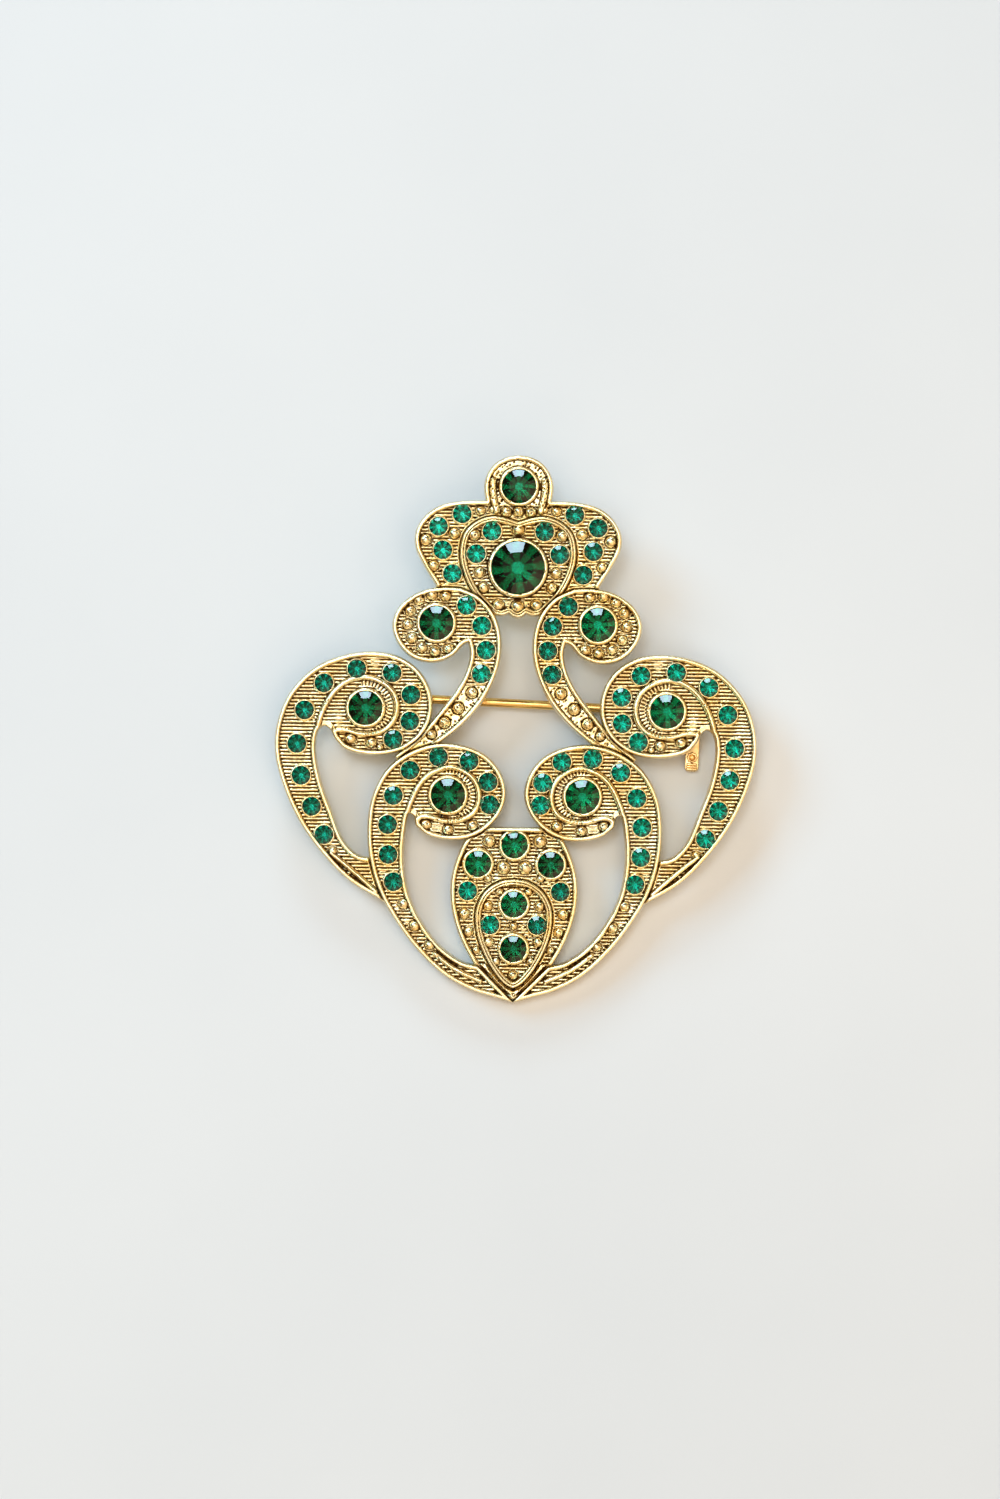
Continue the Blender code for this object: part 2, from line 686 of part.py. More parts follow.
def make_catch_housing():
    """A shell about the roller, open towards the cloth, on a web and a foot."""
    inner = ROLLER_RADIUS + ROLLER_CLEARANCE
    outer = inner + SHELL_WALL
    top = PIN_DROP - FOOT_GAP
    under_foot = top - FOOT_THICKNESS
    web = CATCH_WEB_WIDTH / 2
    foot = CATCH_FOOT_WIDTH / 2
    straight_down = -math.pi / 2
    web_turn = math.acos(web / outer)
    right = arc((0, 0), outer, straight_down + SHELL_OPENING / 2, web_turn, 12)
    left = arc((0, 0), outer, math.pi - web_turn, 3 * math.pi / 2 - SHELL_OPENING / 2, 12)
    bore = arc((0, 0), inner, 3 * math.pi / 2 - SHELL_OPENING / 2, straight_down + SHELL_OPENING / 2, 20)
    web_and_foot = [(web, under_foot), (foot, under_foot), (foot, top), (-foot, top), (-foot, under_foot),
                    (-web, under_foot)]
    profile = right + web_and_foot + left + bore
    housing = prism(profile, -CATCH_LENGTH / 2, CATCH_LENGTH / 2)
    object_from("catch_housing", housing, gilt_metal("catch_gilt", 0.3), on_pin(CATCH_X))


def make_catch_roller():
    """The roller that turns in the housing: a slotted sleeve, a stop collar and a collar with the thumb lever."""
    gilt = gilt_metal("roller_gilt", 0.22)
    housing_half = CATCH_LENGTH / 2
    stop_end = -housing_half - SIDE_PLAY
    lever_start = LEVER_X - CATCH_X - LEVER_WIDTH / 2
    lever_end = lever_start + LEVER_WIDTH
    body = turned([
        (stop_end - COLLAR_LENGTH, LEVER_COLLAR_RADIUS), (stop_end, LEVER_COLLAR_RADIUS),
        (stop_end, ROLLER_RADIUS), (lever_start, ROLLER_RADIUS),
        (lever_start, LEVER_COLLAR_RADIUS), (lever_end, LEVER_COLLAR_RADIUS),
    ])
    roller = object_from("catch_roller", body, gilt, on_pin(CATCH_X))

    half = LEVER_THICKNESS / 2
    lever_profile = [(0, -half), (0, half), *arc((-LEVER_REACH + half, 0), half, math.pi / 2, 3 * math.pi / 2, 6)]
    lever = object_from("roller_lever_tool", prism(lever_profile, lever_start, lever_end), gilt)
    cut_or_join(roller, lever, "UNION")

    slot_half = PIN_DIAMETER / 2 + SLOT_CLEARANCE
    slot_profile = [*arc((0, 0), slot_half, 0, math.pi, 8), (-slot_half, -3 * ROLLER_RADIUS),
                    (slot_half, -3 * ROLLER_RADIUS)]
    slot = object_from("roller_slot_tool", prism(slot_profile, -3 * CATCH_LENGTH, 3 * CATCH_LENGTH), gilt)
    cut_or_join(roller, slot, "DIFFERENCE")


def main():
    clear_scene()
    stones = modelled_stones()
    make_casting(stones)
    make_stones(stones)
    make_hinge()
    make_pin_stem()
    make_catch_housing()
    make_catch_roller()


main()
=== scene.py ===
"""The looks of the gilt scroll brooch: its engraved casting, its cut stones, its pin, and a plain studio.

Sizes are in millimetres and MM turns them into metres. The brooch lies face up in the CAD frame: +X to the
right, +Y to the crest, +Z out of the front, with the casting's back on the plane Z = 0.
"""
import json
import math

import bmesh
import bpy
import numpy as np
from mathutils import Matrix, Vector
from mathutils.geometry import delaunay_2d_cdt


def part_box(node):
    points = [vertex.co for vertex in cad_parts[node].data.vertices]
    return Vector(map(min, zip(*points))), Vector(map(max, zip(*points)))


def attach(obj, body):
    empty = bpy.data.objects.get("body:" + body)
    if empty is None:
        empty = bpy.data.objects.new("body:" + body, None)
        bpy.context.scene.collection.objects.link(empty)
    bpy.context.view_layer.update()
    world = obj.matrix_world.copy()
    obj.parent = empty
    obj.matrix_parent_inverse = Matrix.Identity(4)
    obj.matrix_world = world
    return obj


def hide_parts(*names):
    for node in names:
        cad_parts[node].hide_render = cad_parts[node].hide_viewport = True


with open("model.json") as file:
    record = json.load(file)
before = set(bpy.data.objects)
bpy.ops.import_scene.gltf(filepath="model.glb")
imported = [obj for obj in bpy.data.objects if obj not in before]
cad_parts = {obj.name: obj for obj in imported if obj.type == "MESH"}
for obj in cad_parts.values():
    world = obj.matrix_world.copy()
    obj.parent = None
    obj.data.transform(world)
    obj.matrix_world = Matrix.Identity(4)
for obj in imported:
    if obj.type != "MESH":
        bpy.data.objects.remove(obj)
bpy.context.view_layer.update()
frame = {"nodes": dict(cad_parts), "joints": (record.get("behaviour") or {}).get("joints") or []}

MM = 0.001

# ---- the casting's design, in millimetres

CROWN_TOP = 1.9
HEART_TOP = 2.3
UPPER_TOP = 2.15
SIDE_TOP = 2.0
LOWER_TOP = 2.25
BUD_TOP = 2.4
LEAF_TOP = 2.7

# The grid that heights are worked out on, and how far distances on it are measured.
GRID = 0.06
REACH = 2.4
OUTLINE_STEP = 0.25

# Rims, and the channels between them. The sides slope outward by DRAFT.
DRAFT = 0.15
RIM_ROUND = 0.12
RIM_FLAT = 0.28
RIM_SLOPE = 0.2
DOUBLE_RIM = 0.18
RIM_GROOVE = 0.22
RIM_GROOVE_HALF = 0.09
CHANNEL_DEPTH = 0.45
CHANNEL_CURVE = 0.08
RIDGE_ROUND = 0.05
THIN_RIDGE = 0.2
SEAM_DEPTH = 0.3
SEAM_WIDTH = 0.2
# The front of a part under another one is cut down to this level.
HIDDEN_LEVEL = 0.85

# Seats, beads, hatched rings, engraved lines and pits.
COLLAR_ROUND = 0.06
WELL_SLOPE = 1.6
BEAD_FULLNESS = 1.14
BEAD_SINK = 0.12
BEAD_HEIGHT = 0.95
DITCH_DEPTH = 0.16
HATCH_INNER = 2.45
HATCH_OUTER = 3.05
HATCH_FADE = 0.08
HATCH_DEPTH = 0.14
HATCH_TEETH = 44
HATCH_START = 80
HATCH_SWEEP = 190
LINE_PITCH = 0.395
LINE_DEPTH = 0.2
LINE_WAVER = 0.03
PIT_RADIUS = 0.09
PIT_DEPTH = 0.16

# The sides, as shares of the draft and of the height, and the back.
SIDE_RINGS = ((0.5, 0.6), (1.0, 0.22), (0.8, 0.06), (0.0, 0.0))
LEAST_SLOPE = 0.3
BACK_RIM = 0.8
BACK_SLOPE = 0.4
BACK_RECESS = 0.12
BACK_NET = 0.3
BACK_STEP = 0.01
# Painted shade on the outer edge of the front and on the sides.
EDGE_SHADE = 0.2
SIDE_SHADE = 0.3
# The back is painted a little darker.
BACK_DARKENING = 0.15

# Outlines of the right-hand half. Each run is smooth, and two runs meet in a corner.
CROWN_HALF = [
    [(0, 12.35), (1.4, 12.1), (2.7, 11.3), (3.5, 10.0), (3.7, 8.7), (3.5, 7.3)],
    [(3.5, 7.3), (6.4, 7.2), (8.6, 6.7), (10.2, 5.6), (11.2, 3.9), (11.2, 2.2), (10.3, 0.3), (8.9, -1.95)],
    [(8.9, -1.95), (9.0, -3.0), (3.0, -3.6), (0, -3.6)],
]
HEART_HALF = [
    [(0, 5.0), (1.3, 5.4), (2.9, 5.6), (4.6, 5.05), (5.8, 3.9), (6.3, 2.2), (6.2, 0.4), (5.4, -1.8),
     (4.2, -3.6), (2.5, -5.1)],
    [(2.5, -5.1), (1.6, -5.2), (0.95, -4.95)],
    [(0.95, -4.95), (0.5, -5.3), (0, -5.45)],
]
UPPER_SCROLL = [
    [(6.2, -2.35), (8.3, -2.3), (10.8, -2.85), (12.9, -4.4), (13.65, -6.3), (13.1, -8.3), (11.4, -9.95),
     (9.1, -10.4), (7.1, -9.65), (5.9, -8.4), (5.3, -8.15)],
    [(5.3, -8.15), (5.05, -9.4), (5.45, -11.4), (6.5, -13.5), (8.2, -15.8), (10.2, -18.2), (13.2, -20.9)],
    [(13.2, -20.9), (12.6, -21.6), (10.4, -20.6), (8.2, -19.1), (6.0, -17.3), (4.0, -15.0), (2.6, -12.4),
     (1.9, -9.9), (1.9, -7.4), (2.6, -5.2), (4.2, -3.3), (6.2, -2.35)],
]
SIDE_SCROLL = [
    [(19.9, -18.9), (18.9, -19.95), (16.9, -20.6), (14.6, -20.65), (12.4, -20.05), (10.5, -18.6),
     (9.45, -16.5), (9.5, -13.9), (10.8, -11.5), (13.1, -9.95), (16.0, -9.5), (19.0, -9.9), (22.2, -11.3),
     (24.9, -14.1), (26.2, -17.3), (26.4, -20.6), (25.4, -24.4), (23.6, -28.2), (21.2, -31.5),
     (18.2, -34.5), (14.2, -36.9)],
    [(14.2, -36.9), (14.0, -34.0), (15.0, -32.2)],
    [(15.0, -32.2), (17.2, -31.9), (18.9, -30.3), (20.3, -27.0), (21.6, -23.4), (22.15, -19.9),
     (21.8, -18.0), (21.1, -17.5), (20.4, -17.9), (19.9, -18.9)],
]
LOWER_SCROLL = [
    [(10.85, -28.4), (9.6, -29.4), (7.6, -29.9), (5.4, -29.8), (3.3, -28.8), (1.7, -27.0), (1.1, -24.9),
     (1.7, -22.6), (3.4, -20.7), (5.9, -19.7), (8.8, -19.55), (11.8, -20.55), (14.1, -22.4),
     (15.6, -25.2), (16.1, -28.2), (15.9, -31.8), (14.9, -35.4), (13.1, -38.7), (10.6, -42.0),
     (7.6, -44.8), (4.4, -46.5), (2.0, -47.2), (0.05, -47.75)],
    [(0.05, -47.75), (3.9, -43.9)],
    [(3.9, -43.9), (5.6, -43.5), (8.2, -41.7), (10.3, -39.0), (11.7, -36.0), (12.3, -32.5),
     (12.15, -29.0), (11.7, -27.1), (11.1, -27.3), (10.85, -28.4)],
]
BUD_HALF = [
    [(0, -28.65), (3.6, -28.65)],
    [(3.6, -28.65), (5.0, -29.6), (6.2, -31.9), (6.85, -34.4), (6.8, -37.2), (6.0, -40.2), (4.6, -43.0),
     (2.7, -45.8), (1.2, -47.1), (0, -47.45)],
]
LEAF_HALF = [
    [(0, -34.3), (1.5, -34.55), (3.1, -35.6), (4.05, -37.4), (4.1, -39.6), (3.4, -42.0), (2.0, -44.5),
     (0.8, -45.8), (0, -46.2)],
]

# Stones. The collars grip a stone's edge, so a little less than its whole width shows. Shares are of the
# diameter, slopes in degrees.
SHOWN_SHARE = 0.955
GIRDLE_SHARE = 0.02
TABLE_SHARE = 0.185
CULET_SHARE = 0.33
PAVILION_SHARE = 0.4
GIRDLE_SIDES = 48
FACETS = 8
CROWN_SLOPE = 38
PAVILION_SLOPE = 39
PETAL_SLOPE = 39.8
MEDIUM_FROM = 2.5
LARGE_FROM = 5.0
SEAT_DEPTH = 0.55
LEAST_FOOT = 0.24

# Small stones whose seats the CAD casting leaves empty: their middles on the right-hand half.
SMALL = 2.1
CROWN_STONES = [(6.2, 5.9), (8.8, 4.5), (8.3, 1.9), (7.2, -0.7)]
HEART_STONES = [(2.9, 4.0), (4.6, 1.5)]
UPPER_STONES = [(3.9, -11.7), (3.4, -9.1), (3.9, -6.4), (5.6, -4.2)]
BUD_SIDE_STONE = (5.1, -35.6)
LEAF_SIDE_STONE = (2.6, -39.3)

# Raised ridges inside the outlines: the spiral rims about the scrolls' eyes and the crest's legs.
SIDE_SPIRAL = [(22.05, -18.9), (21.6, -16.8), (20.9, -15.1), (20.1, -13.9), (19.0, -12.9), (17.7, -12.3),
               (16.2, -12.25), (14.8, -12.75), (13.7, -13.7), (13.15, -15.1), (13.3, -16.5), (14.1, -17.7),
               (15.4, -18.35), (17.2, -18.45), (18.9, -18.05), (19.85, -18.15), (20.0, -18.65), (19.3, -19.4)]
SIDE_OPEN_EDGE = (20.95, -17.75, 0.95)
LOWER_SPIRAL = [(12.1, -28.6), (11.85, -27.0), (11.4, -25.7), (10.8, -24.4), (9.9, -23.2), (8.7, -22.4),
                (7.3, -22.05), (5.9, -22.35), (4.7, -23.2), (4.05, -24.5), (4.05, -25.9), (4.7, -27.1),
                (5.9, -27.75), (7.6, -27.95), (9.4, -27.5), (10.45, -27.55), (10.75, -28.05), (10.2, -28.75)]
LOWER_OPEN_EDGE = (11.3, -27.25, 0.7)
CREST_LEG = [(2.85, 9.6), (2.85, 8.2), (2.45, 6.3)]
CREST_LEG_HALF_WIDTH = 0.24
SPIRAL_HALF_WIDTH = 0.16
TAIL_HALF_WIDTH = 0.14
CREST_MIDDLE = (0, 9.0)
CREST_FOOT = 7.0
UPPER_TAIL_START = -13.0
SIDE_TAIL = [(20.2, -31.6), (18.2, -33.2), (15.2, -35.8)]
LOWER_TAIL = [(8.6, -42.6), (6.4, -44.2), (3.6, -45.5)]

# Two thin rims beside the leaf, at these distances from it, below this level.
BUD_FOOT_RIMS = ((0.5, 0.95), -43.6)

# Round beads cast in the channels: x, y and radius.
UPPER_BEAD_RING = 3.15
CROWN_BEADS = [(7.05, 3.75, 0.52), (10.2, 3.0, 0.55), (9.3, 0.15, 0.5), (4.2, 6.3, 0.45), (1.35, 6.15, 0.5),
               (2.9, 6.45, 0.3)]
CROWN_MIDDLE_BEADS = [(0, 6.25, 0.5)]
HEART_BEADS = [(4.85, 3.6, 0.55), (4.2, -0.55, 0.5), (3.75, -2.2, 0.5), (2.1, -4.1, 0.55)]
HEART_MIDDLE_BEADS = [(0, 4.2, 0.58), (0, -4.25, 0.62)]
UPPER_BEADS = [(4.9, -13.8, 0.52), (6.4, -15.5, 0.55), (7.9, -17.1, 0.55), (9.3, -18.4, 0.45)]
SIDE_BEADS = [(15.9, -19.4, 0.52), (18.2, -19.0, 0.52), (14.95, -19.9, 0.3), (20.0, -31.4, 0.4)]
LOWER_BEADS = [(4.65, -28.4, 0.5), (7.35, -28.9, 0.5), (9.8, -28.35, 0.5), (12.15, -37.1, 0.5),
               (10.9, -39.5, 0.5), (9.2, -41.6, 0.45)]
BUD_BEADS = [(2.8, -30.1, 0.58), (1.2, -33.0, 0.62), (5.45, -38.1, 0.5), (4.95, -40.1, 0.45),
             (4.1, -42.1, 0.35), (2.9, -34.2, 0.35)]
LEAF_BEADS = [(2.85, -37.2, 0.45), (2.7, -41.2, 0.45), (1.9, -43.3, 0.35), (1.6, -35.6, 0.35)]
LEAF_MIDDLE_BEADS = [(0, -44.8, 0.45), (0, -39.4, 0.35)]


def smooth_run(knots, step):
    """Points along a centripetal Catmull-Rom curve through the knots, without its last point."""
    inner = [Vector(knot) for knot in knots]
    knots = [2 * inner[0] - inner[1], *inner, 2 * inner[-1] - inner[-2]]
    points = []
    for before, start, end, after in zip(knots, knots[1:], knots[2:], knots[3:]):
        t1 = math.sqrt((start - before).length)
        t2 = t1 + math.sqrt((end - start).length)
        t3 = t2 + math.sqrt((after - end).length)
        count = max(1, round((end - start).length / step))
        for index in range(count):
            t = t1 + (t2 - t1) * index / count
            first = before.lerp(start, t / t1)
            second = start.lerp(end, (t - t1) / (t2 - t1))
            third = end.lerp(after, (t - t2) / (t3 - t2))
            near = first.lerp(second, t / t2)
            far = second.lerp(third, (t - t1) / (t3 - t1))
            points.append(near.lerp(far, (t - t1) / (t2 - t1)))
    return points


def closed_outline(runs):
    points = []
    for run in runs:
        points += smooth_run(run, OUTLINE_STEP) if len(run) > 2 else [Vector(run[0])]
    return points


def symmetric_outline(half_runs):
    right = closed_outline(half_runs) + [Vector(half_runs[-1][-1])]
    return right + [Vector((-point.x, point.y)) for point in reversed(right[1:-1])]


def both_sides(items):
    """The items and their mirror images. An item starts with its x."""
    return [*items, *[(-item[0], *item[1:]) for item in items]]


# ---- height fields


def smoothstep(low, high, value):
    share = np.clip((value - low) / (high - low), 0, 1)
    return share * share * (3 - 2 * share)


class Field:
    """A grid of points over one part of the casting, with distances to shapes drawn on it."""

    def __init__(self, outline):
        xs = [point.x for point in outline]
        ys = [point.y for point in outline]
        margin = 4
        self.left = math.floor(min(xs) / GRID) - margin
        self.bottom = math.floor(min(ys) / GRID) - margin
        columns = math.ceil(max(xs) / GRID) + margin - self.left + 1
        rows = math.ceil(max(ys) / GRID) + margin - self.bottom + 1
        self.x = (self.left + np.arange(columns))[None, :] * GRID + np.zeros((rows, 1))
        self.y = (self.bottom + np.arange(rows))[:, None] * GRID + np.zeros((1, columns))
        self.shape = (rows, columns)

    def window(self, x0, x1, y0, y1):
        """The slice of the grid that covers this box."""
        columns = slice(max(0, math.floor(x0 / GRID) - self.left),
                        max(0, math.ceil(x1 / GRID) - self.left + 1))
        rows = slice(max(0, math.floor(y0 / GRID) - self.bottom),
                     max(0, math.ceil(y1 / GRID) - self.bottom + 1))
        return rows, columns

    def distance(self, points, closed=False, reach=REACH):
        """Distance to a line through the points, up to reach."""
        nearest = np.full(self.shape, reach)
        ends = points[1:] + (points[:1] if closed else [])
        for a, b in zip(points, ends):
            part = self.window(min(a.x, b.x) - reach, max(a.x, b.x) + reach,
                               min(a.y, b.y) - reach, max(a.y, b.y) + reach)
            x, y = self.x[part], self.y[part]
            if x.size == 0:
                continue
            dx, dy = b.x - a.x, b.y - a.y
            share = np.clip(((x - a.x) * dx + (y - a.y) * dy) / (dx * dx + dy * dy + 1e-12), 0, 1)
            away = np.hypot(x - a.x - share * dx, y - a.y - share * dy)
            nearest[part] = np.minimum(nearest[part], away)
        return nearest

    def inside(self, outline):
        """True inside the closed outline, by counting crossings along each row."""
        toggles = np.zeros((self.shape[0], self.shape[1] + 1), np.int32)
        rows_y = self.y[:, 0]
        for a, b in zip(outline, outline[1:] + outline[:1]):
            if a.y == b.y:
                continue
            rows = np.nonzero((rows_y >= min(a.y, b.y)) & (rows_y < max(a.y, b.y)))[0]
            crossing = a.x + (rows_y[rows] - a.y) * (b.x - a.x) / (b.y - a.y)
            columns = np.clip(np.ceil(crossing / GRID).astype(int) - self.left, 0, self.shape[1])
            np.add.at(toggles, (rows, columns), 1)
        return np.cumsum(toggles, axis=1)[:, :-1] % 2 == 1

    def signed(self, outline):
        """Distance to the outline, positive inside it."""
        away = self.distance(outline, closed=True)
        return np.where(self.inside(outline), away, -away)

    def noise(self, scale, seed):
        """Smooth random values from 0 to 1 that change over the scale. The same seed gives the same field."""
        lattice = np.random.default_rng(seed).random((64, 64))
        u, v = self.x / scale + 1000, self.y / scale + 1000
        i, j = np.floor(u).astype(int), np.floor(v).astype(int)
        fu, fv = u - i, v - j
        fu, fv = fu * fu * (3 - 2 * fu), fv * fv * (3 - 2 * fv)
        low = lattice[j % 64, i % 64] * (1 - fu) + lattice[j % 64, (i + 1) % 64] * fu
        high = lattice[(j + 1) % 64, i % 64] * (1 - fu) + lattice[(j + 1) % 64, (i + 1) % 64] * fu
        return low * (1 - fv) + high * fv


def blurred(values, cells):
    """A box blur run twice each way."""
    for _ in range(2):
        for axis in (0, 1):
            padded = np.concatenate([np.repeat(np.take(values, [0], axis), cells + 1, axis), values,
                                     np.repeat(np.take(values, [-1], axis), cells, axis)], axis)
            total = np.cumsum(padded, axis)
            count = values.shape[axis]
            window = 2 * cells + 1
            values = (np.take(total, range(window, window + count), axis)
                      - np.take(total, range(count), axis)) / window
    return values


class Relief:
    """The front of one part of the casting, built up feature by feature on a Field.

    rim is each point's distance inside the outline, cover its distance inside the parts that lie on top, and
    free its distance from every feature so far, so that engraving keeps clear of them.
    """

    def __init__(self, outline, top, covers=(), double=False, seed=1):
        self.field = Field(outline)
        self.top = top
        self.seed = seed
        self.rim = self.field.signed(outline)
        self.rim_width = RIM_FLAT + (DOUBLE_RIM if double else 0)
        self.floor = top - CHANNEL_DEPTH
        foot = self.rim_width + RIM_SLOPE
        outer = np.clip(RIM_ROUND - self.rim, 0, RIM_ROUND)
        self.height = top - RIM_ROUND + np.sqrt(np.maximum(RIM_ROUND ** 2 - outer ** 2, 0))
        if double:
            self.height -= RIM_GROOVE * (1 - smoothstep(0, RIM_GROOVE_HALF, np.abs(self.rim - RIM_FLAT)))
        self.height -= CHANNEL_DEPTH * smoothstep(self.rim_width, foot, self.rim)
        self.height -= CHANNEL_CURVE * smoothstep(foot, 2.0, self.rim)
        self.seat = np.zeros(self.field.shape, bool)
        self.cover = np.full(self.field.shape, -REACH)
        for cover in covers:
            self.cover = np.maximum(self.cover, self.field.signed(cover))
        self.free = np.minimum(self.rim - foot, -self.cover - SEAM_WIDTH - DRAFT)

    def raise_to(self, where, height):
        self.height = np.where(where, np.maximum(self.height, height), self.height)

    def keep_free(self, away):
        self.free = np.minimum(self.free, away)

    def away_from(self, x, y):
        return np.hypot(self.field.x - x, self.field.y - y)

    def ridge(self, knots, half_width):
        """A rounded ridge as high as the rim."""
        points = smooth_run(knots, OUTLINE_STEP) + [Vector(knots[-1])]
        away = self.field.distance(points, reach=1.2)
        foot = half_width + RIM_SLOPE
        crest = self.top - CHANNEL_DEPTH * smoothstep(half_width, foot, away)
        crest -= RIDGE_ROUND * np.clip(away / half_width, 0, 1) ** 2
        self.raise_to((self.rim > 0.05) & (away < foot), crest)
        self.keep_free(away - foot)

    def rims_beside_cover(self, offsets, below):
        """Thin ridges that follow the outline of the part on top, each at its own distance from it."""
        for offset in offsets:
            away = np.abs(self.cover + offset)
            low = self.field.y < below
            crest = self.top - 0.05 - 0.35 * smoothstep(0.05, THIN_RIDGE, away)
            self.raise_to((away < THIN_RIDGE) & (self.rim > 0.1) & low, crest)
            self.keep_free(np.where(low, away - THIN_RIDGE, REACH))

    def open_edge(self, x, y, radius):
        """Leaves the rim out about this point, so that the channel runs to the edge."""
        share = smoothstep(radius, radius - 0.25, self.away_from(x, y))
        self.height = np.minimum(self.height, self.height * (1 - share) + self.floor * share)

    def seat_for(self, stone):
        """A round seat with its collar: a thin lip about a small stone, broad and high about the others."""
        away = self.away_from(*stone.middle)
        radius = stone.radius
        if stone.kind == "small":
            width, shoulder, crest = 0.12, 0.1, max(stone.girdle + 0.03, self.floor + 0.12)
        else:
            width, shoulder, crest = 0.26 + 0.03 * radius, 0.14, max(stone.girdle + 0.12, self.top - 0.1)
        foot = radius + width + shoulder
        collar = crest - (crest - self.floor) * smoothstep(radius + width, foot, away)
        collar -= COLLAR_ROUND * np.clip((away - radius - width / 2) / (width / 2), -1, 1) ** 2
        self.raise_to((away < foot) & (self.rim > -0.02), collar)
        self.keep_free(away - foot)
        well = stone.girdle - 0.1 - np.maximum(0, radius - away) * WELL_SLOPE
        hole = away < radius
        self.height = np.where(hole, np.maximum(well, stone.culet - 0.1), self.height)
        self.seat |= hole

    def bead(self, x, y, radius):
        """A round bead with a ditch about it."""
        radius *= BEAD_FULLNESS
        away = self.away_from(x, y)
        ball = self.floor - BEAD_SINK + BEAD_HEIGHT * np.sqrt(np.maximum(radius ** 2 - away ** 2, 0))
        ditch = DITCH_DEPTH * smoothstep(radius + 0.2, radius + 0.06, away)
        inside = (self.rim > 0.2) & ~self.seat
        self.height = np.where(inside & (self.free > -0.2), self.height - ditch, self.height)
        self.raise_to(inside & (away < radius), ball)
        self.keep_free(away - radius - 0.14)

    def hatched_ring(self, middle):
        """Short radial cuts in part of a ring about this point."""
        away = self.away_from(*middle)
        turn = np.arctan2(self.field.y - middle.y, self.field.x - middle.x)
        swept = (np.degrees(turn) - HATCH_START) % 360.0 < HATCH_SWEEP
        band = swept * smoothstep(HATCH_INNER, HATCH_INNER + HATCH_FADE, away)
        band *= smoothstep(HATCH_OUTER, HATCH_OUTER - HATCH_FADE, away)
        cut = smoothstep(0.3, 0.8, 0.5 + 0.5 * np.cos(turn * HATCH_TEETH))
        clear = smoothstep(0, 0.06, self.rim - self.rim_width)
        self.height -= HATCH_DEPTH * band * cut * clear * ~self.seat
        ring = np.abs(away - (HATCH_INNER + HATCH_OUTER) / 2) - (HATCH_OUTER - HATCH_INNER) / 2
        self.keep_free(np.where(swept, ring, REACH))

    def engrave(self, where):
        """Level lines cut across every free stretch of the channel, now and then worn away."""
        waver = LINE_WAVER * (self.field.noise(4.0, self.seed) - 0.5)
        wave = 0.5 + 0.5 * np.cos(2 * math.pi * (self.field.y + waver) / LINE_PITCH)
        worn = smoothstep(0.75, 0.9, self.field.noise(1.3, self.seed + 3))
        clear = smoothstep(-0.02, 0.05, self.free)
        self.height -= LINE_DEPTH * smoothstep(0.4, 0.65, wave) * (1 - 0.5 * worn) * clear * where

    def stipple(self, spacing, share, area=None):
        """Small round pits, scattered where the area says."""
        random = np.random.default_rng(self.seed + 50)
        field = self.field
        for y in np.arange(field.y[0, 0], field.y[-1, 0], spacing):
            for x in np.arange(field.x[0, 0], field.x[0, -1], spacing):
                px = x + random.random() * spacing
                py = y + random.random() * spacing
                radius = PIT_RADIUS + PIT_RADIUS * random.random()
                kept = random.random() < share
                part = field.window(px - radius, px + radius, py - radius, py + radius)
                if not kept or (area and not area(px, py)) or field.x[part].size == 0:
                    continue
                away = np.hypot(field.x[part] - px, field.y[part] - py)
                pit = PIT_DEPTH * smoothstep(radius, radius * 0.3, away) * (self.rim[part] > self.rim_width)
                self.height[part] -= pit * ~self.seat[part]

    def finish(self):
        """Casting roughness, seams, and how dark each point is painted: tarnish and painted shade in the cuts
        and recesses, painted shadow along the seams, painted shade on the outline's edge.
        """
        noise = self.field.noise
        rough = 0.025 * (noise(0.2, self.seed + 7) - 0.5) + 0.06 * (noise(0.8, self.seed + 8) - 0.5)
        channel = smoothstep(self.rim_width * 0.8, self.rim_width + RIM_SLOPE, self.rim)
        self.height += rough * (0.25 + 0.75 * channel) * ~self.seat
        self.height -= SEAM_DEPTH * smoothstep(-SEAM_WIDTH - DRAFT, -0.03, self.cover)
        hollow = blurred(self.height, round(0.14 / GRID)) - self.height
        wide = blurred(self.height, round(0.4 / GRID)) - self.height
        # Tarnish and painted shade in the cuts and recesses.
        tarnish = smoothstep(0.025, 0.07, hollow) + 0.1 * smoothstep(0.12, 0.25, wide)
        # Painted shadow along the seams, where a part goes under the one on top of it.
        tarnish = np.maximum(tarnish, smoothstep(-SEAM_WIDTH - DRAFT, -0.05, self.cover))
        # Painted shade on the outline's edge.
        tarnish = np.where(self.rim < 0.06, EDGE_SHADE, tarnish)
        self.tarnish = np.clip(tarnish, 0, 1)
        self.height = np.where(self.cover > 0, np.minimum(self.height, HIDDEN_LEVEL), self.height)


def grid_corners(grid):
    """The four corners of every cell of a grid, anticlockwise."""
    return [grid[:-1, :-1], grid[:-1, 1:], grid[1:, 1:], grid[1:, :-1]]


def front_faces(kept):
    """Triangles between the kept points: two in a whole cell, one in a cell that lacks a corner."""
    has = grid_corners(kept)
    ids = grid_corners(np.arange(kept.size).reshape(kept.shape))
    count = sum(corner.astype(int) for corner in has)
    quads = np.stack([corner[count == 4] for corner in ids], 1)
    faces = [quads[:, [0, 1, 2]], quads[:, [0, 2, 3]]]
    for missing in range(4):
        chosen = (count == 3) & ~has[missing]
        faces.append(np.stack([ids[(missing + turn) % 4][chosen] for turn in (1, 2, 3)], 1))
    return np.concatenate(faces)


def outer_edges(faces, total):
    """The directed edges that only one triangle has."""
    ends = np.concatenate([faces[:, [0, 1]], faces[:, [1, 2]], faces[:, [2, 0]]])
    keys = ends[:, 0].astype(np.int64) * total + ends[:, 1]
    back_keys = ends[:, 1].astype(np.int64) * total + ends[:, 0]
    return ends[~np.isin(keys, back_keys)]


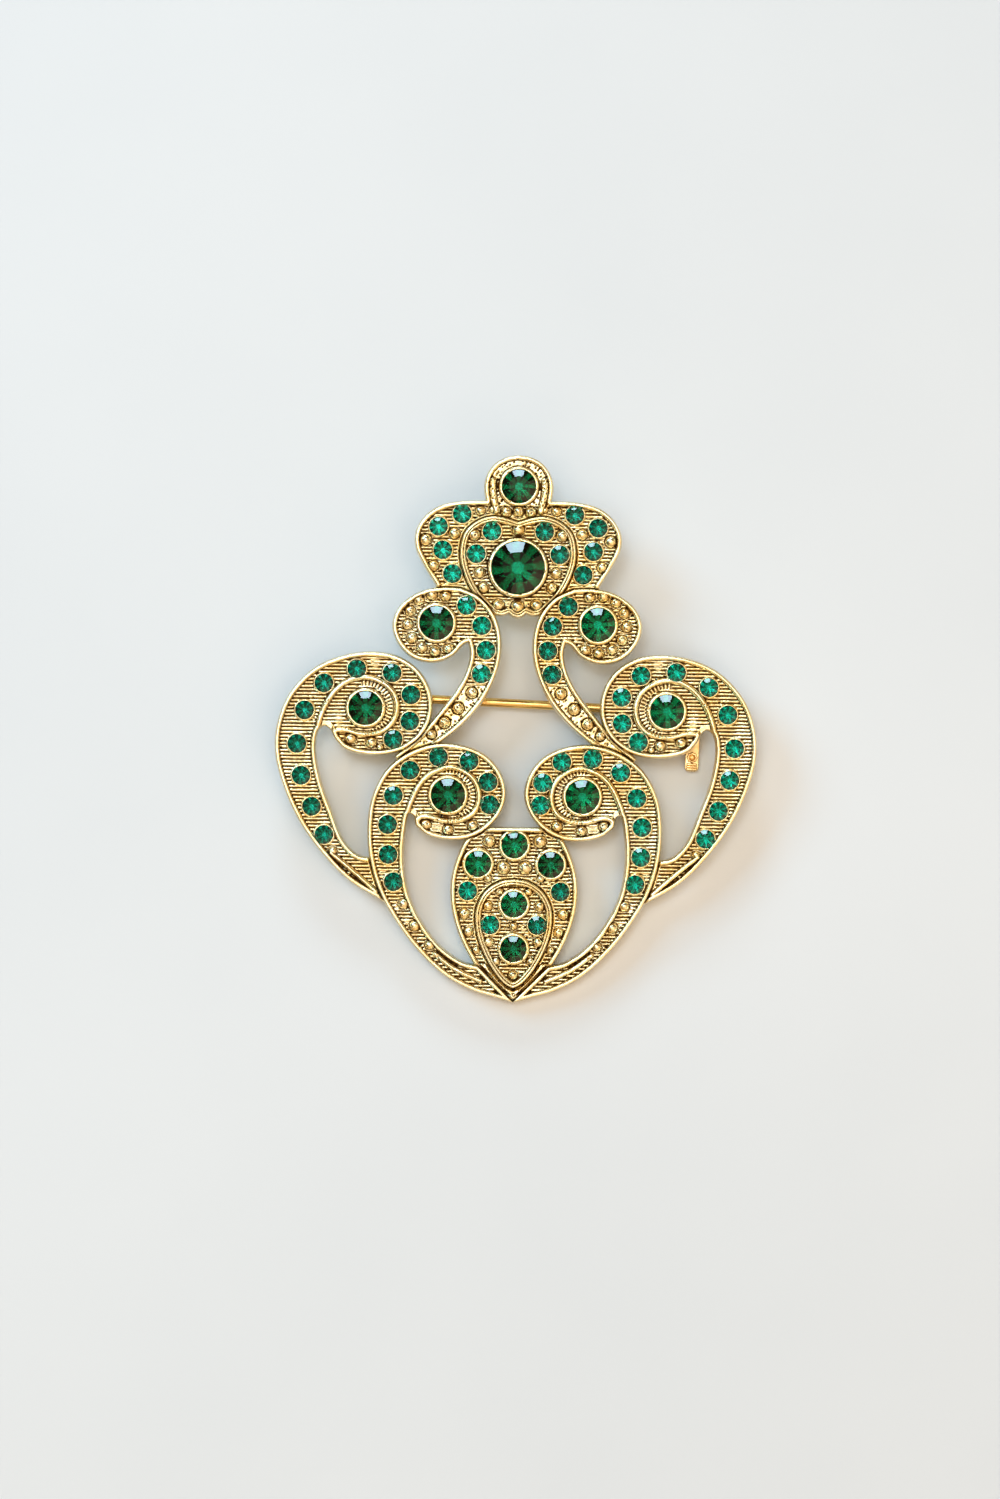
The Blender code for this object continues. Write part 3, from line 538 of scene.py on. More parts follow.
def relief_mesh(name, relief, back_level):
    """A closed mesh: the relief in front, sloping sides, and a back with a shallow recess."""
    field = relief.field
    slope_y, slope_x = np.gradient(relief.rim, GRID)
    steep = np.maximum(np.hypot(slope_x, slope_y), LEAST_SLOPE)
    out_x, out_y = -slope_x / steep, -slope_y / steep
    to_edge = np.where(np.abs(relief.rim) < 0.5 * GRID, relief.rim, 0)
    used, front = np.unique(front_faces(relief.rim > -0.5 * GRID), return_inverse=True)
    front = front.reshape(-1, 3)
    grids = (field.x + to_edge * out_x, field.y + to_edge * out_y, relief.height, out_x, out_y, relief.tarnish)
    px, py, top, nx, ny, tarnish = (grid.reshape(-1)[used] for grid in grids)

    outer = outer_edges(front, len(used))
    around = np.unique(outer)
    place = np.full(len(used), -1)
    place[around] = np.arange(len(around))
    points = [np.stack([px, py, top], 1)]
    starts = []
    for draft_share, height_share in SIDE_RINGS:
        starts.append(sum(len(part) for part in points))
        offset = draft_share * DRAFT
        level = back_level + (top[around] - back_level) * height_share
        points.append(np.stack([px[around] + nx[around] * offset, py[around] + ny[around] * offset, level], 1))
    back_points, back_faces = back_net(points[-1], place[outer], relief, back_level)
    size = sum(len(part) for part in points)
    back_index = np.concatenate([starts[-1] + np.arange(len(around)), size + np.arange(len(back_points))])
    points.append(back_points)

    faces = [front, back_index[back_faces][:, ::-1]]
    upper_a, upper_b = outer.T
    for start in starts:
        lower_a, lower_b = start + place[outer.T]
        faces.append(np.stack([upper_a, lower_a, lower_b], 1))
        faces.append(np.stack([upper_a, lower_b, upper_b], 1))
        upper_a, upper_b = lower_a, lower_b
    # Painted shade on the sides, and the back a little darker.
    tarnish = np.concatenate([tarnish, np.full(size - len(used), SIDE_SHADE),
                              np.full(len(back_points), BACK_DARKENING)])
    return triangle_mesh(name, np.concatenate(points) * MM, np.concatenate(faces), tarnish)


def back_net(ring, edges, relief, back_level):
    """A coarse net of points behind the part, with a shallow recess, joined up with the ring of its edge."""
    field = relief.field
    step = max(1, round(BACK_NET / GRID))
    rim = relief.rim[::step, ::step]
    chosen = rim > DRAFT + BACK_NET * 0.6
    depth = back_level + BACK_RECESS * smoothstep(BACK_RIM, BACK_RIM + BACK_SLOPE, rim[chosen])
    net = np.stack([field.x[::step, ::step][chosen], field.y[::step, ::step][chosen], depth], 1)
    plan = [Vector((x, y)) for x, y, _ in np.concatenate([ring, net])]
    pairs = [(int(a), int(b)) for a, b in edges]
    kept, _, faces, origins, _, _ = delaunay_2d_cdt(plan, pairs, [], 1, 1e-9)
    assert len(kept) == len(plan), "two points of the back fell together"
    faces = np.array([origin[0] for origin in origins])[np.array(faces)]
    corner = np.array([tuple(point) for point in plan])[faces]
    area = np.cross(corner[:, 1] - corner[:, 0], corner[:, 2] - corner[:, 0])
    return net, np.where(area[:, None] > 0, faces, faces[:, ::-1])


def triangle_mesh(name, points, faces, tarnish):
    mesh = bpy.data.meshes.new(name)
    mesh.from_pydata(points.tolist(), [], faces.tolist())
    mesh.validate()
    # The mask of tarnish, painted shade and painted shadow that the gilt's shader reads.
    layer = mesh.attributes.new("tarnish", "FLOAT", "POINT")
    layer.data.foreach_set("value", tarnish.astype(np.float32))
    mesh.shade_smooth()
    return mesh


def mirrored_mesh(name, source):
    mesh = source.copy()
    mesh.name = name
    mesh.transform(Matrix.Scale(-1, 4, (1, 0, 0)))
    mesh.flip_normals()
    return mesh


def new_object(name, data, place=Matrix()):
    made = bpy.data.objects.new(name, data)
    made.matrix_world = place
    bpy.context.scene.collection.objects.link(made)
    return made


def new_piece(name, data, place, body, node):
    """An object that rides on this body and stands for this CAD node if it has one."""
    made = new_object(name, data, place)
    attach(made, body)
    if node:
        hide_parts(node)


# ---- stones


class Stone:
    """A round stone: its name, middle, size, the height of its girdle, and its CAD node if it has one."""

    def __init__(self, name, x, y, diameter, girdle, node=None):
        self.name = name
        self.node = node
        self.middle = Vector((x, y))
        self.diameter = diameter * SHOWN_SHARE
        self.radius = self.diameter / 2
        self.girdle = girdle
        self.culet = girdle - PAVILION_SHARE * diameter
        self.kind = "small" if self.diameter < MEDIUM_FROM else "medium"
        if self.diameter >= LARGE_FROM:
            self.kind = "large"


def stones_from_frame():
    """Every stone that the CAD holds, where its node's box says."""
    stones = []
    for node in sorted(name for name in frame["nodes"] if name.startswith("stone_")):
        low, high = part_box(node)
        middle = (low + high) / 2 / MM
        diameter = round((high.x - low.x) / MM, 1)
        girdle = low.z / MM + PAVILION_SHARE * diameter
        stones.append(Stone(node.replace("stone_", "gem_"), middle.x, middle.y, diameter, girdle, node))
    return stones


def stones_left_out():
    """The small stones that have only a seat in the CAD."""
    groups = (("crown", CROWN_STONES, CROWN_TOP), ("heart", HEART_STONES, HEART_TOP),
              ("upper_scroll", UPPER_STONES, UPPER_TOP), ("bud_side", [BUD_SIDE_STONE], BUD_TOP),
              ("leaf_side", [LEAF_SIDE_STONE], LEAF_TOP))
    stones = []
    for group, middles, top in groups:
        girdle = max(top - SEAT_DEPTH + 0.1 * SMALL, LEAST_FOOT + PAVILION_SHARE * SMALL)
        for index, (x, y) in enumerate(middles, start=1):
            stones.append(Stone(f"gem_{group}_{index:02d}_right", x, y, SMALL, girdle))
            stones.append(Stone(f"gem_{group}_{index:02d}_left", -x, y, SMALL, girdle))
    return stones


def cut_stone_mesh(name, diameter, materials):
    """A foiled chaton, cut like a real one: a round blank, then one plane for each facet."""
    radius = diameter / 2
    girdle = GIRDLE_SHARE * diameter
    mesh = bmesh.new()
    bmesh.ops.create_cone(mesh, cap_ends=True, segments=GIRDLE_SIDES, radius1=radius, radius2=radius,
                          depth=diameter)

    def plane_cut(point, normal):
        parts = [*mesh.verts, *mesh.edges, *mesh.faces]
        cut = bmesh.ops.bisect_plane(mesh, geom=parts, dist=1e-5, plane_co=point, plane_no=normal,
                                     clear_outer=True)
        edges = [item for item in cut["geom_cut"] if isinstance(item, bmesh.types.BMEdge)]
        if edges:
            bmesh.ops.edgeloop_fill(mesh, edges=edges)

    def facets(slope, height, phase, up):
        """A ring of facets at this slope in degrees that reach the girdle's edge at this height."""
        slope = math.radians(slope)
        for index in range(FACETS):
            turn = 2 * math.pi * (index + phase) / FACETS
            outward = Vector((math.cos(turn), math.sin(turn), 0))
            plane_cut(outward * radius + Vector((0, 0, height)),
                      outward * math.sin(slope) + Vector((0, 0, up * math.cos(slope))))

    facets(CROWN_SLOPE, girdle, 0.0, 1)
    facets(PAVILION_SLOPE, -girdle, 0.0, -1)
    facets(PETAL_SLOPE, -girdle, 0.5, -1)
    plane_cut(Vector((0, 0, TABLE_SHARE * diameter)), Vector((0, 0, 1)))
    plane_cut(Vector((0, 0, -CULET_SHARE * diameter)), Vector((0, 0, -1)))
    bmesh.ops.transform(mesh, matrix=Matrix.Scale(MM, 4), verts=mesh.verts)
    bmesh.ops.recalc_face_normals(mesh, faces=mesh.faces)
    for face in mesh.faces:
        face.smooth = False
        middle = face.calc_center_median()
        petal = round(math.atan2(middle.y, middle.x) / math.pi * FACETS) % 2
        culet = middle.xy.length < 0.03 * diameter * MM
        # Every other pavilion facet takes the dark foil: painted shade, the dark wedges of the stone's
        # reflections.
        if middle.z < -0.8 * girdle * MM:
            face.material_index = 2 if petal and not culet else 1
    data = bpy.data.meshes.new(name)
    mesh.to_mesh(data)
    mesh.free()
    for material in materials:
        data.materials.append(material)
    return data


def make_stones(stones):
    """Each stone in one of two tones, small ones turned this way and that, the others almost straight."""
    glass = tones("glass", green_glass, GLASS_COLOURS)
    foil = tones("foil", green_foil, FOIL_COLOURS)
    meshes = {}
    for index, stone in enumerate(stones):
        small = stone.kind == "small"
        tone = (index * 7) % 2
        key = (stone.diameter, tone)
        if key not in meshes:
            materials = (glass["small" if small else "large"][tone], foil[stone.kind][tone],
                         foil[stone.kind + "_dark"][tone])
            meshes[key] = cut_stone_mesh(f"cut_{stone.diameter:.1f}_{tone}", stone.diameter, materials)
        turn = math.radians(9 + (index * 37) % 28 if small else (index * 5) % 11 - 2)
        middle = Vector((*stone.middle, stone.girdle + GIRDLE_SHARE * stone.diameter)) * MM
        place = Matrix.Translation(middle) @ Matrix.Rotation(turn, 4, "Z")
        new_piece(stone.name, meshes[key], place, "brooch", stone.node)


# ---- materials

GOLD = (1.0, 0.90, 0.60)
DEEP_GOLD = (1.0, 0.79, 0.38)
# Brown for tarnish, and for painted shade and shadow.
TARNISH_AND_SHADE = (0.09, 0.038, 0.007)
WIRE_GOLD = (0.95, 0.66, 0.26)
DEEP_WIRE_GOLD = (0.80, 0.48, 0.14)
FINDINGS_GOLD = (1.0, 0.78, 0.42)
DEEP_FINDINGS_GOLD = (0.66, 0.42, 0.15)
FLOOR_GREY = (0.77, 0.79, 0.81)
DEEP_FLOOR_GREY = (0.71, 0.735, 0.76)

# Two tones for each kind of stone. The dark foils, painted shade for the dark wedges of a stone's reflections,
# lie between the bright ones.
GLASS_COLOURS = {
    "small": ((0.0, 0.64, 0.55), (0.0, 0.54, 0.45)),
    "large": ((0.0, 0.36, 0.26), (0.0, 0.29, 0.20)),
}
FOIL_COLOURS = {
    "small": ((0.0, 0.66, 0.56), (0.0, 0.54, 0.46)),
    "small_dark": ((0.0, 0.20, 0.18), (0.0, 0.17, 0.15)),
    "medium": ((0.0, 0.66, 0.44), (0.0, 0.56, 0.37)),
    "medium_dark": ((0.0, 0.16, 0.11), (0.0, 0.08, 0.055)),
    "large": ((0.0, 0.50, 0.32), (0.0, 0.46, 0.29)),
    "large_dark": ((0.0, 0.02, 0.014), (0.0, 0.017, 0.012)),
}
GLASS_INDEX = 1.56


class Nodes:
    """Shorthand for building the nodes of one material, or of the world."""

    def __init__(self, owner, shader):
        owner.use_nodes = True
        self.owner = owner
        self.tree = owner.node_tree
        self.shader = self.tree.nodes[shader]

    def feed(self, socket, value):
        """Gives a socket a number, a colour, a direction or another node's output."""
        if isinstance(value, bpy.types.NodeSocket):
            self.tree.links.new(value, socket)
        else:
            socket.default_value = (*value, 1) if socket.type == "RGBA" else value

    def set(self, name, value):
        """Feeds one of the shader's own sockets."""
        self.feed(self.shader.inputs[name], value)

    def add(self, kind, inputs, **settings):
        node = self.tree.nodes.new(kind)
        for key, value in settings.items():
            setattr(node, key, value)
        for key, value in inputs.items():
            self.feed(node.inputs[key], value)
        return node.outputs

    def place(self):
        return self.add("ShaderNodeTexCoord", {})["Object"]

    def noise(self, scale, detail=3.0, roughness=0.6, where=None):
        where = self.place() if where is None else where
        inputs = {"Scale": scale, "Detail": detail, "Roughness": roughness, "Vector": where}
        return self.add("ShaderNodeTexNoise", inputs)["Fac"]

    def spread(self, value, low=0.3, high=0.7, new_low=0.0, new_high=1.0, **settings):
        inputs = {"Value": value, "From Min": low, "From Max": high, "To Min": new_low, "To Max": new_high}
        return self.add("ShaderNodeMapRange", inputs, **settings)["Result"]

    def mix(self, factor, first, second):
        inputs = {"Factor": factor, "A": first, "B": second}
        return self.add("ShaderNodeMix", inputs, data_type="RGBA")["Result"]

    def bump(self, height, strength, distance):
        """Raises the surface by up to this distance, in millimetres."""
        inputs = {"Strength": strength, "Distance": distance * MM, "Height": height}
        self.set("Normal", self.add("ShaderNodeBump", inputs)["Normal"])


def surface(name):
    return Nodes(bpy.data.materials.new(name), "Principled BSDF")


def gilt_casting():
    """Gilt over a die casting: bright where it is rubbed, brown with tarnish and painted shade in the cuts and
    recesses, painted shadow along the seams and painted shade on the edges and sides.
    """
    m = surface("gilt_casting")
    # The mask holds tarnish, painted shade and painted shadow.
    mask = m.add("ShaderNodeAttribute", {}, attribute_name="tarnish")["Fac"]
    grime = m.spread(m.noise(2400.0, 2.0), new_low=-0.12, new_high=0.12)
    tarnish_shade_and_grime = m.add("ShaderNodeMath", {0: mask, 1: grime}, operation="ADD")[0]
    dark = m.spread(tarnish_shade_and_grime, 0.12, 0.85)
    gold = m.mix(m.spread(m.noise(260.0, 4.0), 0.35, 0.65), GOLD, DEEP_GOLD)
    m.set("Base Color", m.mix(dark, gold, TARNISH_AND_SHADE))
    m.set("Roughness", m.spread(dark, 0.0, 1.0, 0.27, 0.5))
    m.set("Metallic", 1.0)
    m.bump(m.noise(3200.0), 0.22, 0.04)
    return m.owner


def gilt_wire():
    """Drawn wire, gilt and polished, with fine lines along it."""
    m = surface("gilt_wire")
    where = m.add("ShaderNodeMapping", {"Vector": m.place(), "Scale": (1.0, 12.0, 12.0)})["Vector"]
    lines = m.noise(500.0, where=where)
    m.set("Base Color", m.mix(m.spread(lines), WIRE_GOLD, DEEP_WIRE_GOLD))
    m.set("Metallic", 1.0)
    m.set("Roughness", m.spread(lines, new_low=0.16, new_high=0.3))
    m.bump(lines, 0.15, 0.03)
    return m.owner


def gilt_findings():
    """Stamped and turned findings: gilt, and rubbed in patches."""
    m = surface("gilt_findings")
    patches = m.spread(m.noise(700.0, 4.0))
    m.set("Base Color", m.mix(patches, FINDINGS_GOLD, DEEP_FINDINGS_GOLD))
    m.set("Metallic", 1.0)
    m.set("Roughness", m.spread(patches, 0.0, 1.0, 0.2, 0.38))
    m.bump(m.noise(2500.0), 0.2, 0.03)
    return m.owner


def wavering(name, colour, scale):
    """A material whose colour drifts between this one and a slightly darker one."""
    m = surface(name)
    darker = tuple(channel * 0.8 for channel in colour)
    m.set("Base Color", m.mix(m.spread(m.noise(scale, 2.0, 0.5)), colour, darker))
    return m


def green_glass(name, colour):
    """Clear green glass, with the faintest waviness."""
    m = wavering(name, colour, 900.0)
    m.set("Transmission Weight", 1.0)
    m.set("IOR", GLASS_INDEX)
    m.set("Specular IOR Level", 0.1)
    m.set("Roughness", 0.02)
    return m.owner


def green_foil(name, colour):
    """The painted foil behind a stone, which throws the light back."""
    m = wavering(name, colour, 1500.0)
    m.set("Metallic", 1.0)
    m.set("Roughness", 0.22)
    return m.owner


def tones(word, make, colours):
    """The materials of every kind of stone, two for each."""
    return {kind: [make(f"{word}_{kind}_{index}", colour) for index, colour in enumerate(pair)]
            for kind, pair in colours.items()}


def pale_floor():
    """A plain pale stone surface."""
    m = surface("pale_floor")
    m.set("Base Color", m.mix(m.spread(m.noise(9.0, 4.0, 0.55)), FLOOR_GREY, DEEP_FLOOR_GREY))
    m.set("Roughness", 0.45)
    m.bump(m.noise(1400.0), 0.15, 0.05)
    return m.owner


# ---- the casting's parts


def dress(relief, stones, prefixes, beads, engraved=True, hatched=None):
    """Sets the seats of the stones whose names start so, then a hatched ring, the beads and the lines."""
    for stone in stones:
        if stone.name.startswith(prefixes):
            relief.seat_for(stone)
    if hatched:
        relief.hatched_ring(hatched.middle)
    for bead in beads:
        relief.bead(*bead)
    relief.engrave(engraved)


def in_ring(middle, inner, outer):
    return lambda x, y: inner < math.hypot(x - middle[0], y - middle[1]) < outer


def crown_relief(outline, covers, stones):
    relief = Relief(outline, CROWN_TOP, covers, seed=3)
    relief.ridge(CREST_LEG, CREST_LEG_HALF_WIDTH)
    relief.ridge([(-x, y) for x, y in CREST_LEG], CREST_LEG_HALF_WIDTH)
    dress(relief, stones, ("gem_crest", "gem_crown"), both_sides(CROWN_BEADS) + CROWN_MIDDLE_BEADS,
          relief.field.y < CREST_FOOT)
    relief.stipple(0.42, 0.9, in_ring(CREST_MIDDLE, 2.2, 3.4))
    relief.stipple(0.7, 0.35)
    return relief


def heart_relief(outline, covers, stones):
    relief = Relief(outline, HEART_TOP, covers, double=True, seed=4)
    dress(relief, stones, "gem_heart", both_sides(HEART_BEADS) + HEART_MIDDLE_BEADS)
    relief.stipple(0.7, 0.35)
    return relief


def upper_relief(outline, covers, stones):
    """The scroll with beads all round its eye and a pitted, beaded tail."""
    eye = next(stone for stone in stones if "eye" in stone.name)
    relief = Relief(outline, UPPER_TOP, covers, seed=5)
    beads = []
    for index in range(9):
        turn = math.radians(108 - 28 * index)
        beads.append((eye.middle.x + UPPER_BEAD_RING * math.cos(turn),
                      eye.middle.y + UPPER_BEAD_RING * math.sin(turn), 0.5))
    dress(relief, stones, "gem_upper", beads + UPPER_BEADS, relief.field.y > UPPER_TAIL_START)
    relief.stipple(0.42, 0.85, lambda x, y: y < UPPER_TAIL_START)
    relief.stipple(0.5, 0.7, in_ring(eye.middle, 2.3, 4.4))
    return relief


def spiral_relief(relief, stones, open_edge, spiral, tail, beads):
    """A scroll with a spiral rim about its eye and a hatched ring inside that."""
    eye = next(stone for stone in stones if "eye" in stone.name)
    relief.open_edge(*open_edge)
    relief.ridge(spiral, SPIRAL_HALF_WIDTH)
    relief.ridge(tail, TAIL_HALF_WIDTH)
    dress(relief, stones, "gem_", beads, hatched=eye)
    relief.stipple(0.8, 0.3)
    return relief


def bud_relief(outline, covers, stones):
    relief = Relief(outline, BUD_TOP, covers, seed=8)
    relief.rims_beside_cover(*BUD_FOOT_RIMS)
    dress(relief, stones, "gem_bud", both_sides(BUD_BEADS))
    relief.stipple(0.55, 0.5)
    return relief


def leaf_relief(outline, stones):
    relief = Relief(outline, LEAF_TOP, double=True, seed=9)
    dress(relief, stones, "gem_leaf", both_sides(LEAF_BEADS) + LEAF_MIDDLE_BEADS)
    relief.stipple(0.55, 0.5)
    return relief


def build_casting(stones, gold):
    """Every part of the casting. Their backs lie one step apart, so that no two faces fall together."""
    halves = (CROWN_HALF, HEART_HALF, BUD_HALF, LEAF_HALF)
    crown, heart, bud, leaf = (symmetric_outline(half) for half in halves)
    upper, side, lower = (closed_outline(runs) for runs in (UPPER_SCROLL, SIDE_SCROLL, LOWER_SCROLL))
    uppers = [upper, [Vector((-point.x, point.y)) for point in upper]]
    lowers = [lower, [Vector((-point.x, point.y)) for point in lower]]
    upper_stones, side_stones, lower_stones = (
        [stone for stone in stones if word + "_scroll" in stone.name and stone.name.endswith("right")]
        for word in ("upper", "side", "lower")
    )
    parts = {
        "casting_crown": (0, crown_relief(crown, [heart, *uppers], stones)),
        "casting_heart": (2, heart_relief(heart, uppers, stones)),
        "casting_upper_scroll": (1, upper_relief(upper, [side, lower], upper_stones)),
        "casting_side_scroll": (3, spiral_relief(Relief(side, SIDE_TOP, [lower], seed=6), side_stones,
                                                 SIDE_OPEN_EDGE, SIDE_SPIRAL, SIDE_TAIL, SIDE_BEADS)),
        "casting_lower_scroll": (4, spiral_relief(Relief(lower, LOWER_TOP, seed=7), lower_stones,
                                                  LOWER_OPEN_EDGE, LOWER_SPIRAL, LOWER_TAIL, LOWER_BEADS)),
        "casting_bud": (5, bud_relief(bud, [leaf, *lowers], stones)),
        "casting_leaf": (6, leaf_relief(leaf, stones)),
    }
    for name, (steps, relief) in parts.items():
        relief.finish()
        mesh = relief_mesh(name, relief, steps * BACK_STEP)
        mesh.materials.append(gold)
        pieces = {name: mesh}
        if name.endswith("scroll"):
            pieces = {name + "_right": mesh, name + "_left": mirrored_mesh(name + "_left", mesh)}
        for piece, data in pieces.items():
            new_piece(piece, data, Matrix(), "brooch", "brooch_casting")


# ---- the pin, its hinge and its catch

WIRE_RADIUS = 0.5
PIN_TAPER = 7.0
TAPER_STEPS = 25
EYE_RADIUS = 1.1
EYE_BORE = 0.46
EYE_WIDTH = 1.6
EYE_EASE = 0.22
BORE_EASE = 0.08
RIVET_RADIUS = 0.4
RIVET_HEAD_RADIUS = 0.7
RIVET_HEAD_HEIGHT = 0.35
RIVET_HALF = 1.61
EDGE_EASE = 0.08
SAME_POINT = 0.002
LEVER_MIDDLE = 2.05
LEVER_REACH = 6.5
LEVER_HALF_WIDTH = 0.75
LEVER_HALF_THICKNESS = 0.3
LEVER_END_SHARE = 0.3
LEVER_CUTS = (0.05, 0.15, 0.3, 0.5, 0.75, 1.0)
# The rosette as (height, radius) points. Insets are measured from the lever's end.
ROSETTE = [(-0.1, 0.0), (-0.1, 0.58), (0.10, 0.58), (0.26, 0.48), (0.27, 0.38), (0.06, 0.26), (0.03, 0.18),
           (0.16, 0.12), (0.19, 0.0)]
ROSETTE_INSET = 1.55
RIB_INSET = 0.78
RIB_PITCH = 0.26
RIB_LIFT = 0.05
RIB_RADIUS = 0.14
RIB_EASE = 0.1


def joint_place(name):
    """The middle of a joint, with local X along the pin and local Z out of the front."""
    joint = next(joint for joint in frame["joints"] if joint["name"] == name)
    along = Vector(joint["axis"])
    if abs(along.y) > abs(along.x):
        along = along.cross(Vector((0, 0, 1)))
    return Matrix.Translation(joint["pos_m"]) @ Matrix.Rotation(math.atan2(along.y, along.x), 4, "Z")


def lathe(profile, sides, closed=False, petals=0, depth=0.0):
    """A round body about X from (x, radius) points. Radius 0 makes a point, and petals make its rim wavy."""
    mesh = bmesh.new()
    rings = []
    for x, radius in profile:
        ring = []
        for index in range(sides if radius else 1):
            turn = 2 * math.pi * index / sides
            reach = radius * (1 + depth * math.cos(petals * turn))
            ring.append(mesh.verts.new(Vector((x, reach * math.cos(turn), reach * math.sin(turn))) * MM))
        rings.append(ring)
    if closed:
        rings.append(rings[0])
    for ring, following in zip(rings, rings[1:]):
        for index in range(sides):
            after = (index + 1) % sides
            corners = [ring[index % len(ring)], ring[after % len(ring)],
                       following[after % len(following)], following[index % len(following)]]
            mesh.faces.new(list(dict.fromkeys(corners)))
    bmesh.ops.recalc_face_normals(mesh, faces=mesh.faces)
    return mesh


def corner_arc(middle, radii, start, end, steps=5):
    """Points along part of an ellipse about the middle. Angles are in degrees."""
    turns = [math.radians(start + (end - start) * index / steps) for index in range(steps + 1)]
    return [(middle[0] + radii[0] * math.cos(turn), middle[1] + radii[1] * math.sin(turn)) for turn in turns]


def mirrored_profile(half):
    return half + [(-x, radius) for x, radius in reversed(half)]


def finding(name, mesh, place, body, node, material):
    """Makes a piece from a bmesh in the place's local space, with edges that turn sharply kept sharp."""
    data = bpy.data.meshes.new(name)
    mesh.to_mesh(data)
    mesh.free()
    data.shade_smooth()
    data.set_sharp_from_angle(angle=math.radians(40))
    data.materials.append(material)
    new_piece(name, data, place, body, node)


def eased_copy(node, place, shape=None):
    """The CAD node's own shape in the place's local space, flat facets joined and edges rounded."""
    mesh = bmesh.new()
    mesh.from_mesh(frame["nodes"][node].data)
    mesh.transform(place.inverted() @ frame["nodes"][node].matrix_world)
    bmesh.ops.remove_doubles(mesh, verts=mesh.verts, dist=SAME_POINT * MM)
    bmesh.ops.dissolve_limit(mesh, angle_limit=math.radians(1), verts=mesh.verts, edges=mesh.edges)
    sharp = [edge for edge in mesh.edges if edge.calc_face_angle(0.0) > math.radians(35)]
    bmesh.ops.bevel(mesh, geom=sharp, offset=EDGE_EASE * MM, segments=3, profile=0.5, affect="EDGES",
                    clamp_overlap=True)
    if shape:
        shape(mesh)
    bmesh.ops.triangulate(mesh, faces=mesh.faces)
    return mesh


def round_lever_end(mesh):
    """Rounds the thumb end of the lever in plan."""
    for share in LEVER_CUTS:
        point = Vector((0, -LEVER_REACH + share * LEVER_HALF_WIDTH, 0)) * MM
        parts = [*mesh.verts, *mesh.edges, *mesh.faces]
        bmesh.ops.bisect_plane(mesh, geom=parts, dist=1e-6, plane_co=point, plane_no=Vector((0, 1, 0)))
    for vert in mesh.verts:
        from_end = (vert.co.y / MM + LEVER_REACH) / LEVER_HALF_WIDTH
        if from_end < 1:
            share = max(LEVER_END_SHARE, (1 - (1 - max(from_end, 0)) ** 4) ** 0.25)
            vert.co.x = (LEVER_MIDDLE + (vert.co.x / MM - LEVER_MIDDLE) * share) * MM


def make_pin(wire):
    """The pin's wire, from its eye to its point, and the eye that turns on the rivet."""
    place = joint_place("pin_swing")
    length = (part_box("pin_stem")[1].x - place.translation.x) / place.col[0].x / MM
    start = EYE_BORE + 0.16
    profile = [(start, 0.0), (start, WIRE_RADIUS * 0.8), (start + 0.1, WIRE_RADIUS)]
    for index in range(TAPER_STEPS):
        share = index / TAPER_STEPS
        profile.append((length - PIN_TAPER + share * PIN_TAPER, WIRE_RADIUS * (1 - share ** 2) ** 0.6))
    profile.append((length, 0.0))
    finding("pin_wire", lathe(profile, 32), place, "pin", "pin_stem", wire)

    half = EYE_WIDTH / 2
    outer, inner = (EYE_EASE, EYE_EASE), (BORE_EASE, BORE_EASE)
    profile = [
        *corner_arc((half - EYE_EASE, EYE_RADIUS - EYE_EASE), outer, 0, 90),
        *corner_arc((-half + EYE_EASE, EYE_RADIUS - EYE_EASE), outer, 90, 180),
        *corner_arc((-half + BORE_EASE, EYE_BORE + BORE_EASE), inner, 180, 270, 3),
        *corner_arc((half - BORE_EASE, EYE_BORE + BORE_EASE), inner, 270, 360, 3),
    ]
    across = place @ Matrix.Rotation(math.pi / 2, 4, "Z")
    finding("pin_eye", lathe(profile, 56, closed=True), across, "pin", "pin_stem", wire)


def make_hinge(gilt):
    """The bracket and the rivet with its two round heads."""
    place = joint_place("pin_swing")
    finding("hinge_bracket_eased", eased_copy("hinge_bracket", place), place, "brooch", "hinge_bracket",
            gilt)
    head = corner_arc((RIVET_HALF, 0), (RIVET_HEAD_HEIGHT, RIVET_HEAD_RADIUS), 0, 90, 6)
    profile = mirrored_profile(head + [(RIVET_HALF, RIVET_RADIUS)])
    across = place @ Matrix.Rotation(math.pi / 2, 4, "Z")
    finding("hinge_rivet_turned", lathe(profile, 40), across, "brooch", "hinge_rivet", gilt)


def make_catch(gilt):
    """The housing, and the roller with a rosette and three ribs on its thumb lever."""
    place = joint_place("roller_turn")
    finding("catch_housing_eased", eased_copy("catch_housing", place), place, "brooch", "catch_housing",
            gilt)

    def on_roller(name, mesh, spot):
        finding(name, mesh, place @ spot, "roller", "catch_roller", gilt)

    def on_lever(inset, height):
        return Matrix.Translation(Vector((LEVER_MIDDLE, -LEVER_REACH + inset, height)) * MM)

    on_roller("catch_roller_eased", eased_copy("catch_roller", place, round_lever_end), Matrix())
    upright = Matrix.Rotation(-math.pi / 2, 4, "Y")
    on_roller("lever_rosette", lathe(ROSETTE, 64, petals=8, depth=0.07),
              on_lever(ROSETTE_INSET, LEVER_HALF_THICKNESS) @ upright)
    rib_half = LEVER_HALF_WIDTH * 0.8
    end = corner_arc((rib_half - RIB_EASE, RIB_RADIUS - RIB_EASE), (RIB_EASE, RIB_EASE), 0, 90, 4)
    rib = mirrored_profile([(rib_half, 0.0), *end])
    for index in range(3):
        on_roller(f"lever_rib_{index + 1}", lathe(rib, 24),
                  on_lever(RIB_INSET - RIB_PITCH * index, LEVER_HALF_THICKNESS + RIB_LIFT))


# ---- the studio

